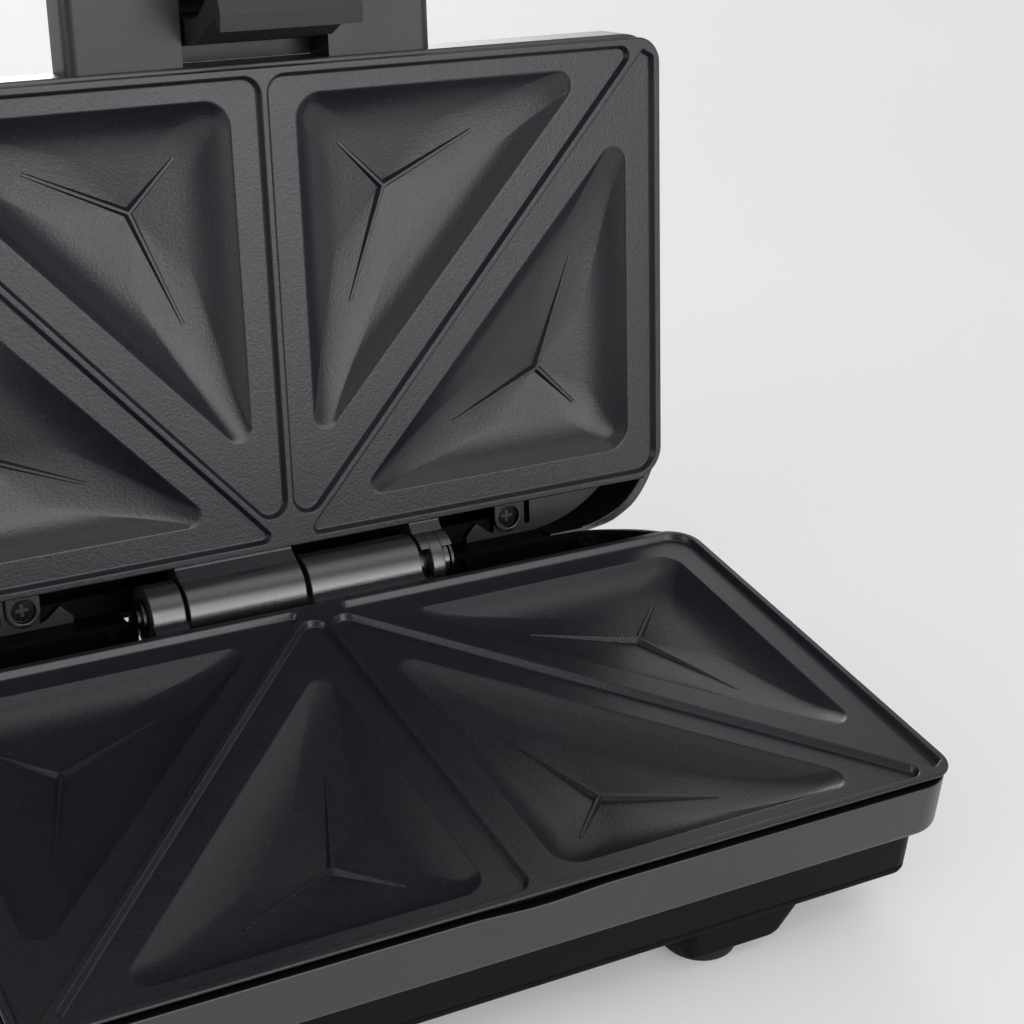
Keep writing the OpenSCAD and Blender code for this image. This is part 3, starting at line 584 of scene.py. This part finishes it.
# ------------------------------------------------------------------ housings
HHW, REAR_Y, REAR_R, FRONT_Y, FRONT_R = 115.5, 15.5, 28.0, -125.5, 11.0
BAND_Z, SET, BASE_Z, LID_Z = 16.6, 5.0, 32.4, 36.0
FRONT_X = [-100, -80, -60, -45, -32, -24] + list(np.arange(-20, 20.5, 1.0)) + [24, 32, 45, 60, 80, 100]
SIDE_T = [0.0, 0.12, 0.25, 0.38, 0.5, 0.62, 0.75, 0.88, 1.0]
BX, BY, SHELF = 70.3, 7.7, 12.5
REAR_X = [80, 70, 60, 52, 45.35, 45.25, 44.3, 44.2, 43.15, 43.05, 38, 28, 18, 8, -8, -18, -28, -38, -43.05, -43.15, -44.2, -44.3, -45.25, -45.35, -52, -60, -70, -80]


def outline(i, ext=0.0, rmin=1.5):
    """Outline of the housing, moved in by i; ext makes it longer at the rear."""
    rf, rr_ = max(FRONT_R - i, rmin), max(REAR_R - i, rmin)
    fx, fy = HHW - i - rf, FRONT_Y + i + rf
    bx, by = HHW - i - rr_, REAR_Y + ext - i - rr_
    out = [(x * min(1.0, fx / 104.5), FRONT_Y + i) for x in FRONT_X]
    out += [(fx + rf * math.sin(a), fy - rf * math.cos(a)) for a in np.linspace(0, math.pi / 2, 15)]
    out += [(HHW - i, fy + (by - fy) * t) for t in SIDE_T[1:-1]]
    out += [(bx + rr_ * math.cos(a), by + rr_ * math.sin(a)) for a in np.linspace(0, math.pi / 2, 27)]
    out += [(x, REAR_Y + ext - i) for x in REAR_X]
    out += [(-bx - rr_ * math.sin(a), by + rr_ * math.cos(a)) for a in np.linspace(0, math.pi / 2, 27)]
    out += [(-(HHW - i), by + (fy - by) * t) for t in SIDE_T[1:-1]]
    out += [(-fx - rf * math.cos(a), fy - rf * math.sin(a)) for a in np.linspace(0, math.pi / 2, 15)]
    return out


def scallop(x, y):
    return -0.9 * (1 + math.cos(math.pi * x / 19)) / 2 if abs(x) < 19 and y < -110 else 0.0


def top_base(x, y):
    if y > 1 and abs(x) < 45.3:
        return -13.4 if abs(x) < 43.1 else -5.9 if abs(x) < 44.25 else -2.9
    return -2.0 - float(np.interp(abs(x), [82, 100], [0.145, 0.21])) * max(y, 0) + scallop(x, y)


def top_lid(x, y):
    if y > 1 and abs(x) < 45.3:
        return 12.4
    return float(np.interp(y, [0, 8, 12.5, 15.5, 30], [2.2, 2.2, 3.6, 6.9, 22.9])) - scallop(x, y)


def shell(profile, top, sign, ext_from=None):
    """Closed band of rings. profile rows: (inset, z, 'a' or 't', extension)."""
    rings = []
    for i, z, kind, ext in profile:
        ring = []
        for x, y in outline(i, ext):
            zz = top(x, y) + sign * z if kind == "t" else z
            if kind == "c":
                zz = min(z, top(x, y) - 0.0) if sign < 0 else max(z, top(x, y))
            ring.append((x, y, zz))
        rings.append(ring)
    g = Mesh()
    g.loft(rings, wrap=True)
    return g


base_prof = [
    (1.9, -0.15, "t", 0), (1.75, -0.02, "t", 0), (1.3, 0.0, "t", 0), (0.8, 0.0, "t", 0), (0.42, -0.02, "t", 0), (0.2, -0.09, "t", 0),
    (0.07, -0.24, "t", 0), (0.0, -0.5, "t", 0), (0.0, -1.6, "t", 0),
    (0.0, -14.9, "c", 0), (0.06, -15.35, "a", 0), (0.28, -15.85, "a", 0), (0.62, -16.22, "a", 0), (1.1, -16.48, "a", 0), (1.7, -16.6, "a", 0),
    (4.5, -16.62, "a", 0), (4.85, -16.7, "a", 0), (5.0, -17.1, "a", 0), (5.0, -29.9, "a", 0), (5.15, -30.2, "a", 0), (5.5, -30.3, "a", 0),
    (7.5, -30.3, "a", 0), (7.5, -14.4, "a", 0), (7.2, -14.1, "a", 0), (1.9, -14.1, "a", 0)]
base_prof = [(i, -z if k_ == "t" else z, k_, e) for i, z, k_, e in base_prof]
g = shell(base_prof, top_base, -1)
# corner tabs, rear screw bosses, cover posts and the small posts beside the hinge
for s in (-1, 1):
    g.lathe_z([(1.55, -16.6), (1.55, -6.25), (3.9, -6.2), (4.1, -6.35), (4.2, -6.6), (4.2, -16.6)], s * 88.6, 9.2, 48, wrap=True)
    for y in (-112, -40):
        g.lathe_z([(1.35, -30.4), (3.6, -30.4), (3.6, -22.4), (1.35, -22.4)], s * 104.5, y, 32, wrap=True)
    for y in (-113.5, -12):
        g.lathe_z([(2.2, -16.6), (6.5, -16.6), (6.5, -14.1), (2.2, -14.1)], s * 103.5, y, 32, wrap=True)
    post = rounded([(s * 50.5, 10.3), (s * 52.3, 10.3), (s * 52.3, 14.3), (s * 50.5, 14.3)], [0.4] * 4, 3)
    g.loft([[(q[0], q[1], -26.4) for q in post], [(q[0], q[1], -4.7) for q in post], [(q[0] * 0.998, q[1], -4.5) for q in post]], cap0=True, cap1=True)
ob = piece("base_shell", g, "base", M["band"], sharp=38)


def dress(ob, lid, pick, mats):
    """Gives each face the material that pick names for its centre and normal in the work frame."""
    me = ob.data
    me.materials.clear()
    for m_ in mats:
        me.materials.append(m_)
    co, so = math.cos(OPEN), math.sin(OPEN)
    for f_ in me.polygons:
        c, nn = f_.center * 1000, f_.normal
        x, y, z = c.x, c.y - FY, c.z - FZ
        ny, nz = nn.y, nn.z
        if lid:
            y, z = y - AY, z - AZ
            y, z = AY + y * co - z * so, AZ + y * so + z * co
            ny, nz = ny * co - nz * so, ny * so + nz * co
        f_.material_index = pick(x, y, z, nn.x, ny, nz)


def barrel_face_lit_copy(x, y, z, nx, ny, nz):
    """The turned faces get a lighter, shinier copy of the plate coating as a painted highlight; the webs keep the plate
    coating itself.
    """
    r = math.hypot(y - AY, z - AZ)
    turned = r > 1 and (ny * (y - AY) + nz * (z - AZ)) / r > 0.97
    return 0 if turned or abs(nx) > 0.5 else 1


for bar, swung in barrels:
    dress(bar, swung, barrel_face_lit_copy, (M["barrel"], M["plate"]))


def edge_gap(x, y, ext=0.0):
    """How far a point lies inside the housing's outline."""
    ax = abs(x)
    if y > REAR_Y - REAR_R and ax > HHW - REAR_R:
        return REAR_R - math.hypot(ax - (HHW - REAR_R), y - (REAR_Y - REAR_R))
    if y < FRONT_Y + FRONT_R and ax > HHW - FRONT_R:
        return FRONT_R - math.hypot(ax - (HHW - FRONT_R), y - (FRONT_Y + FRONT_R))
    return min(HHW - ax, REAR_Y + ext - y, y - FRONT_Y)


# Faces below the band get the darker tier plastic. Upward faces and faces inside the outline get painted shade, a much
# darker copy of the housing plastic. The outer faces keep the band plastic.
def base_face_with_painted_shade(x, y, z, nx, ny, nz):
    if z < -16.55:
        return 1
    if nz > 0.93:
        return 2
    return 0 if edge_gap(x, y) < 1.6 else 2


dress(ob, False, base_face_with_painted_shade, (M["band"], M["base"], M["inner"]))
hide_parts("base_housing")
base_shell = ob

lid_prof = [
    (1.9, 0.15, "t", 0), (1.75, 0.02, "t", 0), (1.3, 0.0, "t", 0), (0.85, 0.0, "t", 0), (0.46, 0.04, "t", 0), (0.22, 0.13, "t", 0),
    (0.08, 0.3, "t", 0), (0.0, 0.6, "t", 0), (0.0, 1.6, "t", 0),
    (0.0, 14.9, "c", 0), (0.06, 15.35, "a", 0), (0.28, 15.85, "a", 0), (0.62, 16.22, "a", 0), (1.1, 16.48, "a", 0), (1.7, 16.6, "a", 0),
    (4.5, 16.62, "a", 2), (4.85, 16.7, "a", 4), (5.0, 17.1, "a", 4), (5.0, 29.6, "a", 4), (5.15, 29.85, "a", 4), (5.5, 29.95, "a", 4),
    (7.5, 29.95, "a", 4), (7.5, 16.6, "a", 4), (7.4, 14.4, "a", 0), (7.2, 14.1, "a", 0), (1.9, 14.1, "a", 0)]
g = shell(lid_prof, top_lid, 1)
for s in (-1, 1):
    # rear boss: a rounded tongue with a sunk seat for the screw
    def tongue(r):
        return [(s * (BX - r), -2.0), (s * (BX - r), 3.0)] + [(s * (BX + r * math.cos(t)), BY + r * math.sin(t)) for t in np.linspace(math.pi, 0, 25)] + [(s * (BX + r), 3.0), (s * (BX + r), -2.0)]

    def ring_(r, z):
        return [(s * BX + r * math.cos(t), BY + r * math.sin(t), z) for t in np.linspace(0, 2 * math.pi, 48, endpoint=False)]
    rings = [[(q[0], q[1], z) for q in tongue(r)] for r, z in ((4.5, 16.6), (4.5, 11.35), (4.42, 11.12), (4.2, 11.0))]
    g.loft(rings)
    face = [q[:2] for q in rings[-1]]
    seat = [q[:2] for q in ring_(3.4, 0)]
    g.flat([face, seat], 11.0, lambda c, a=face, b=seat: inside(c, a) and not inside(c, b))
    g.loft([ring_(3.4, 11.0), ring_(3.26, 11.07), ring_(3.2, 11.22), ring_(3.2, 14.4), ring_(1.6, 14.4)])
    for y in (-112, -40):
        g.lathe_z([(1.6, 30.0), (3.6, 30.0), (3.6, 22.0), (1.6, 22.0)], s * 104.5, y, 32, wrap=True)
    for y in (-113.5, -12):
        g.lathe_z([(2.2, 16.6), (6.5, 16.6), (6.5, 14.1), (2.2, 14.1)], s * 103.5, y, 32, wrap=True)
    # shelf beside the rear boss, with its slot, and the gusset on the other side of it
    arc = [(s * (87.5 + 26.8 * math.cos(t)), -12.5 + 26.8 * math.sin(t)) for t in np.linspace(math.asin(10.5 / 26.8), math.pi / 2, 20)]
    loop = [(s * 66.1, -2.0)] + arc + [(s * 66.1, 14.3)]
    slot_ = rounded([(s * 76.0, 2), (s * 77.8, 2), (s * 77.8, 11.2), (s * 76.0, 11.2)], [0.2, 0.2, 0.85, 0.85], 5)
    for z in (SHELF, 16.6):
        g.flat([loop, slot_], z, lambda c, a=loop, b=slot_: inside(c, a) and not inside(c, b))
    for lp in (loop, slot_):
        g.loft([[(q[0], q[1], SHELF) for q in lp], [(q[0], q[1], 16.6) for q in lp]])
    gus = [(57.3, 11.7), (60.5, 8.5), (62.2, 9.9), (64.2, 11.5), (66.2, 12.3), (66.2, 14), (57.3, 14)]
    g.loft([[(s * q[0], q[1], z) for q in gus] for z in (SHELF, 16.6)], cap0=True, cap1=True)
    # thick rear corner: its inner face runs from the rim to the edge of the shelf
    def along(path, n=30):
        path = np.array(path, float)
        d_ = np.concatenate([[0], np.cumsum(np.linalg.norm(np.diff(path, axis=0), axis=1))])
        return [tuple(np.array([np.interp(t * d_[-1], d_, path[:, 0]), np.interp(t * d_[-1], d_, path[:, 1])])) for t in np.linspace(0, 1, n)]

    def corner(r):
        return [(80.0, -12.5 + r)] + [(87.5 + r * math.cos(t), -12.5 + r * math.sin(t)) for t in np.linspace(math.pi / 2, math.asin(13.1 / r), 40)]
    low_ = [(75 + 40.8 * math.cos(t), -27 + 40.8 * math.sin(t)) for t in np.linspace(math.acos(5 / 40.8), math.asin(27.6 / 40.8), 40)]
    out_, rim_o, rim_i, she = along(corner(27.0)), along(corner(25.3)), along(corner(25.0)), along(low_)
    secs = []
    for o_, a_, i_, h_ in zip(out_, rim_o, rim_i, she):
        secs.append([(s * o_[0], o_[1], top_lid(*o_) + 0.03), (s * a_[0], a_[1], top_lid(*a_) + 0.02), (s * i_[0], i_[1], top_lid(*i_) + 0.3),
                     (s * h_[0], h_[1], SHELF + 0.3), (s * o_[0], o_[1], SHELF + 0.3)])
    g.loft(secs, cap0=True, cap1=True)
ob = piece("lid_shell", g, "lid", M["band"], lid=True, sharp=38)


# Inside faces of the lid, including the inner face of its rear wall, get painted shade, a much darker copy of the
# housing plastic. The outer faces, the rim and some faces at the rear boss and shelf keep the band plastic. The tier
# above the band gets its darker plastic.
def lid_face_with_painted_shade(x, y, z, nx, ny, nz):
    if y > 11.5 and abs(x) < 90 and z < 12.0 and ny < 0.5:
        return 2
    if z > 16.65:
        return 1
    if edge_gap(x, y) < 1.6:
        return 0
    if z < 6.9 and nz < -0.5:
        return 0
    if abs(x) > 56 and y > -2.1 and nz < -0.5 and z < 12.8:
        return 0
    if z < 11.4 and abs(abs(x) - BX) < 4.6 and y > -2.1:
        return 0
    return 2


dress(ob, True, lid_face_with_painted_shade, (M["band"], M["base"], M["inner"]))
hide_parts("lid_housing")
lid_shell = ob

# lid cover: rounded crown with a shallow framed panel and two lamp openings
g = Mesh()
cover_prof = [(7.3, 30.15), (5.6, 30.15), (5.2, 30.25), (5.0, 30.5)]
cover_prof += [(5.0 + 6.2 * (1 - math.cos(a)), 30.6 + 5.2 * math.sin(a)) for a in np.linspace(0.15, math.pi / 2, 12)]
cover_prof += [(14.9, 35.84), (15.5, 35.86), (15.75, 35.62), (16.05, 35.4), (16.5, 35.35), (17.0, 35.4), (17.25, 35.62), (17.5, 35.86), (18.0, 35.95), (19.6, 36.0)]
rings = [[(x, y, z) for x, y in outline(i, 4, 3.0)] for i, z in cover_prof]
inner = [(7.3, 30.15), (7.5, 33.4), (12, 33.6)]
g.loft(rings)
top_loop = [q[:2] for q in rings[-1]]
lamp = {}
for s in (-1, 1):
    lamp[s] = [(s * 9 + 3.75 * math.cos(a), -101 + 3.75 * math.sin(a)) for a in np.linspace(0, 2 * math.pi, 48, endpoint=False)]
if not inside((9, -101), top_loop):
    raise SystemExit("lamp opening outside the panel")
g.flat([top_loop, lamp[-1], lamp[1]], 36.0, lambda c: inside(c, top_loop) and not inside(c, lamp[-1]) and not inside(c, lamp[1]))
low = [[(x, y, z) for x, y in outline(i, 4, 3.0)] for i, z in inner]
g.loft(low)
low_loop = [q[:2] for q in low[-1]]
g.flat([low_loop, lamp[-1], lamp[1]], 33.6, lambda c: inside(c, low_loop) and not inside(c, lamp[-1]) and not inside(c, lamp[1]))
for s in (-1, 1):
    g.loft([[(x, y, 33.6) for x, y in lamp[s]], [(x, y, 35.75) for x, y in lamp[s]],
            [(x, y, 36.0) for x, y in lamp[s]]])
    g.lathe_z([(1.55, 17.0), (4.2, 17.0), (4.2, 33.5), (1.55, 33.5)], s * BX, BY, 48, wrap=True)
ob = piece("lid_crown", g, "lid", M["cover"], lid=True, sharp=38)
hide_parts("lid_cover")

# bottom cover with its foot pods
g = Mesh()
cov = [(5.5, -30.4), (5.2, -30.5), (5.0, -30.8), (5.0, -31.5), (5.25, -32.05), (5.75, -32.35), (6.5, -32.4)]
rings = [[(x, y, z) for x, y in outline(i)] for i, z in cov]
g.loft([[(x, y, -30.4) for x, y in outline(6.5)]] + rings)
lo_loop = [q[:2] for q in rings[-1]]
slots = []
for i in range(-4, 5):
    slots.append(rounded([(i * 9 - 1.5, -82), (i * 9 + 1.5, -82), (i * 9 + 1.5, -46), (i * 9 - 1.5, -46)], [1.45] * 4, 5))
for z in (-32.4, -30.4):
    lp = lo_loop if z < -31 else [(x, y) for x, y in outline(6.5)]
    g.flat([lp] + slots, z, lambda c, lp=lp: inside(c, lp) and not any(inside(c, q) for q in slots))
for sl in slots:
    g.loft([[(q[0], q[1], -32.4) for q in sl], [(q[0], q[1], -30.4) for q in sl]])
for s in (-1, 1):
    for y0, y1 in ((-120.2, -97.0), (-13.0, 10.0)):
        rings = []
        for t, z in ((0, -31.8), (0.1, -39.2), (0.25, -39.75), (0.6, -40.15), (1.2, -40.3)):
            xo = 79.8 - 5.5 * min(1, max(0, (-z - 32.4) / 7.9)) ** 1.0
            lp = rounded([(s * (45.6 + t), y0 + t), (s * (xo - t), y0 + t), (s * (xo - t), y1 - t), (s * (45.6 + t), y1 - t)], [2.2, 6, 6, 2.2], 8, 2)
            rings.append([(q[0], q[1], z) for q in lp])
        g.loft(rings, cap0=True, cap1=True)
ob = piece("bottom_tray", g, "base", M["bottom"], sharp=38)
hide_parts("bottom_cover")

# rubber feet
g = Mesh()
for s in (-1, 1):
    for y in (-109.3, -1.0):
        g.lathe_z([(0.01, -44.0), (8.4, -44.0), (9.1, -43.85), (9.55, -43.4), (9.7, -42.8), (9.7, -41.0), (9.5, -40.6), (9.1, -40.35), (8.0, -40.3), (8.0, -38.5), (0.01, -38.5)],
                  s * 55.4, y, 64, caps=False)
        for rr_ in (3.2, 5.6):
            g.lathe_z([(rr_ - 0.5, -43.95), (rr_, -44.0), (rr_ + 0.5, -43.95), (rr_, -43.5)], s * 55.4, y, 64, wrap=True)
ob = piece("feet", g, "base", M["rubber"], sharp=40)
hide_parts("rubber_feet")

# handle: rounded grip with a finger hollow that takes the latch
def grip_loop(i):
    lp = []
    for a in np.linspace(math.pi, 1.5 * math.pi, 12):
        lp.append((-38 + (10 - i) * math.cos(a), -142 + (10 - i) * math.sin(a)))
    for x in np.linspace(-36, 36, 19):
        lp.append((x, -152 + i))
    for a in np.linspace(1.5 * math.pi, 2 * math.pi, 12):
        lp.append((38 + (10 - i) * math.cos(a), -142 + (10 - i) * math.sin(a)))
    lp += [(48 - i, y) for y in (-138, -134, -130)] + [(48 - i, -125.4)]
    lp += [(x, -125.4) for x in (30, 15, 0, -15, -30)]
    lp += [(-48 + i, y) for y in (-125.4, -130, -134, -138)]
    return lp


g = Mesh()
hp = [(3.0 * (1 - math.sin(a)), 3.4 + 3.0 * (1 - math.cos(a))) for a in np.linspace(0, math.pi / 2, 7)]
hp += [(3.6 * (1 - math.sin(a)), 18.4 - 3.6 * (1 - math.cos(a))) for a in np.linspace(math.pi / 2, 0, 8)]
g.loft([[(x, y, z) for x, y in grip_loop(i)] for i, z in hp], cap0=True, cap1=True)
handle = piece("grip", g, "lid", M["handle"], lid=True, sharp=40, weighted=False)
g = Mesh()
lw = 18.0 + 1.2
hol = rounded([(-lw, -143), (lw, -143), (lw, -124.0), (-lw, -124.0)], [2.5, 2.5, 0.5, 0.5], 6)
g.loft([[(x, y, z) for x, y in hol] for z in (-1.0, 16.0)], cap0=True, cap1=True)
cutter = piece("cutter", g, "lid", M["handle"], lid=True, sharp=40, weighted=False)
bo = handle.modifiers.new("hollow", "BOOLEAN")
bo.operation, bo.object, bo.solver = "DIFFERENCE", cutter, "EXACT"
dg = bpy.context.evaluated_depsgraph_get()
new = D.meshes.new_from_object(handle.evaluated_get(dg))
handle.modifiers.clear()
handle.data = new
D.objects.remove(cutter)
for p in new.polygons:
    p.use_smooth = True
new.set_sharp_from_angle(angle=math.radians(40))
b = handle.modifiers.new("edges", "BEVEL")
b.width, b.segments, b.limit_method, b.angle_limit = 0.0005, 2, "ANGLE", math.radians(50)
w = handle.modifiers.new("normals", "WEIGHTED_NORMAL")
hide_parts("lid_handle")

# ------------------------------------------------------------------ carried-over parts
CAD_MAT = dict(lower_shield="steel", upper_shield="steel", lower_heater="element", upper_heater="element",
               lower_terminals="ceramic", upper_terminals="ceramic", lower_plate_screws="screw", upper_plate_screws="screw",
               lower_shield_screws="screw", upper_shield_screws="screw", base_case_screws="screw", base_rear_screws="screw_dark",
               lid_case_screws="screw_dark", handle_screws="screw", thermostat="stat", thermal_fuse="fuse", terminal_block="block",
               cord_gland="gland", base_wiring="wire", lid_wiring="wire", hinge_pin="pin", hinge_clips="pin", latch_pin="pin",
               power_lens="red", ready_lens="green", indicator_board="board", latch="handle",
               base_housing="band", bottom_cover="bottom", rubber_feet="rubber", lower_plate="plate", upper_plate="plate",
               lid_housing="band", lid_cover="cover", lid_handle="handle")
for n_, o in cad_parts.items():
    mt = M[CAD_MAT[n_]]
    if not o.material_slots:
        o.data.materials.append(mt)
    for sl in o.material_slots:
        sl.material = mt
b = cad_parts["latch"].modifiers.new("edges", "BEVEL")
b.width, b.segments, b.limit_method, b.angle_limit = 0.0005, 2, "ANGLE", math.radians(40)

# ------------------------------------------------------------------ studio
floor_mat = material("floor_paint", grey(0.80), grey(0.83), 0.6, grain=300, bump=0.0, blotch=3, rvar=0.02, emit=0.22)
me = D.meshes.new("floor")
S = 60.0
me.from_pydata([(-S, -S, 0), (S, -S, 0), (S, S, 0), (-S, S, 0)], [], [(0, 1, 2, 3)])
floor = D.objects.new("floor", me)
floor.location.z = -0.0002
scene.collection.objects.link(floor)
me.materials.append(floor_mat)

world = D.worlds.new("studio")
scene.world = world
world.use_nodes = True
wt = world.node_tree
bg = wt.nodes["Background"]
bg.inputs["Strength"].default_value = 1.0
wdir = wt.nodes.new("ShaderNodeTexCoord").outputs["Generated"]


def heading(az, el):
    """Direction az degrees to the right of the front and el degrees up."""
    a_, e_ = math.radians(az), math.radians(el)
    return (math.sin(a_) * math.cos(e_), -math.cos(a_) * math.cos(e_), math.sin(e_))


def glow(az, el, power, gain):
    """Soft glow in the studio's surround, brightest at one heading."""
    d_ = wt.nodes.new("ShaderNodeVectorMath")
    d_.operation = "DOT_PRODUCT"
    wt.links.new(wdir, d_.inputs[0])
    d_.inputs[1].default_value = heading(az, el)
    mx_ = wt.nodes.new("ShaderNodeMath")
    mx_.operation = "MAXIMUM"
    wt.links.new(d_.outputs["Value"], mx_.inputs[0])
    mx_.inputs[1].default_value = 0.0
    pw = wt.nodes.new("ShaderNodeMath")
    pw.operation = "POWER"
    wt.links.new(mx_.outputs[0], pw.inputs[0])
    pw.inputs[1].default_value = power
    ml = wt.nodes.new("ShaderNodeMath")
    ml.operation = "MULTIPLY"
    wt.links.new(pw.outputs[0], ml.inputs[0])
    ml.inputs[1].default_value = gain
    return ml.outputs[0]


level = None
for az_, el_, pw_, gn_ in (
        # broad soft glows all round, strongest high on the right
        (-120, 8, 14, 0.36), (90, 8, 14, 0.70), (-144, 35, 14, 0.76), (-108, 35, 14, 0.22), (-72, 35, 14, 0.75), (-36, 35, 14, 0.42),
        (108, 35, 14, 0.42), (-60, 63, 14, 0.32), (60, 63, 14, 1.39), (180, 63, 14, 0.19), (0, 90, 14, 0.25),
        # tighter ones: low and high beside the key, low on the left, and behind the object
        (0, 16, 45, 0.43), (20, 2, 45, 5.25), (20, 16, 45, 3.1), (20, 32, 45, 2.0), (60, 2, 45, 0.88), (-80, 6, 45, 4.65),
        (132, 34, 45, 0.28), (149, 20, 45, 0.6), (149, 34, 45, 0.95), (166, 6, 45, 11.5)):
    g_ = glow(az_, el_, pw_, gn_)
    if level is None:
        level = g_
        continue
    ad = wt.nodes.new("ShaderNodeMath")
    ad.operation = "ADD"
    wt.links.new(g_, ad.inputs[0])
    wt.links.new(level, ad.inputs[1])
    level = ad.outputs[0]
wt.links.new(level, bg.inputs["Color"])


def softbox(name, loc, target, sx, sy, power, colour=(1, 1, 1)):
    ld = D.lights.new(name, "AREA")
    ld.shape, ld.size, ld.size_y, ld.energy, ld.color = "RECTANGLE", sx, sy, power, colour
    lo = D.objects.new(name, ld)
    scene.collection.objects.link(lo)
    lo.location = loc
    d = Vector(target) - Vector(loc)
    lo.rotation_euler = d.to_track_quat("-Z", "Y").to_euler()
    return lo


def box_at(name, az, el, dist, sx, sy, radiance):
    """Softbox at a heading from the object; its power follows from its size and radiance."""
    c_ = (0.03, -0.02, 0.08)
    h_ = heading(az, el)
    loc = tuple(c_[i] + dist * h_[i] for i in range(3))
    return softbox(name, loc, c_, sx, sy, math.pi * sx * sy * radiance)


box_at("key", 0, 32, 1.3, 0.55, 0.42, 3.6)

scene.view_settings.view_transform = "Standard"
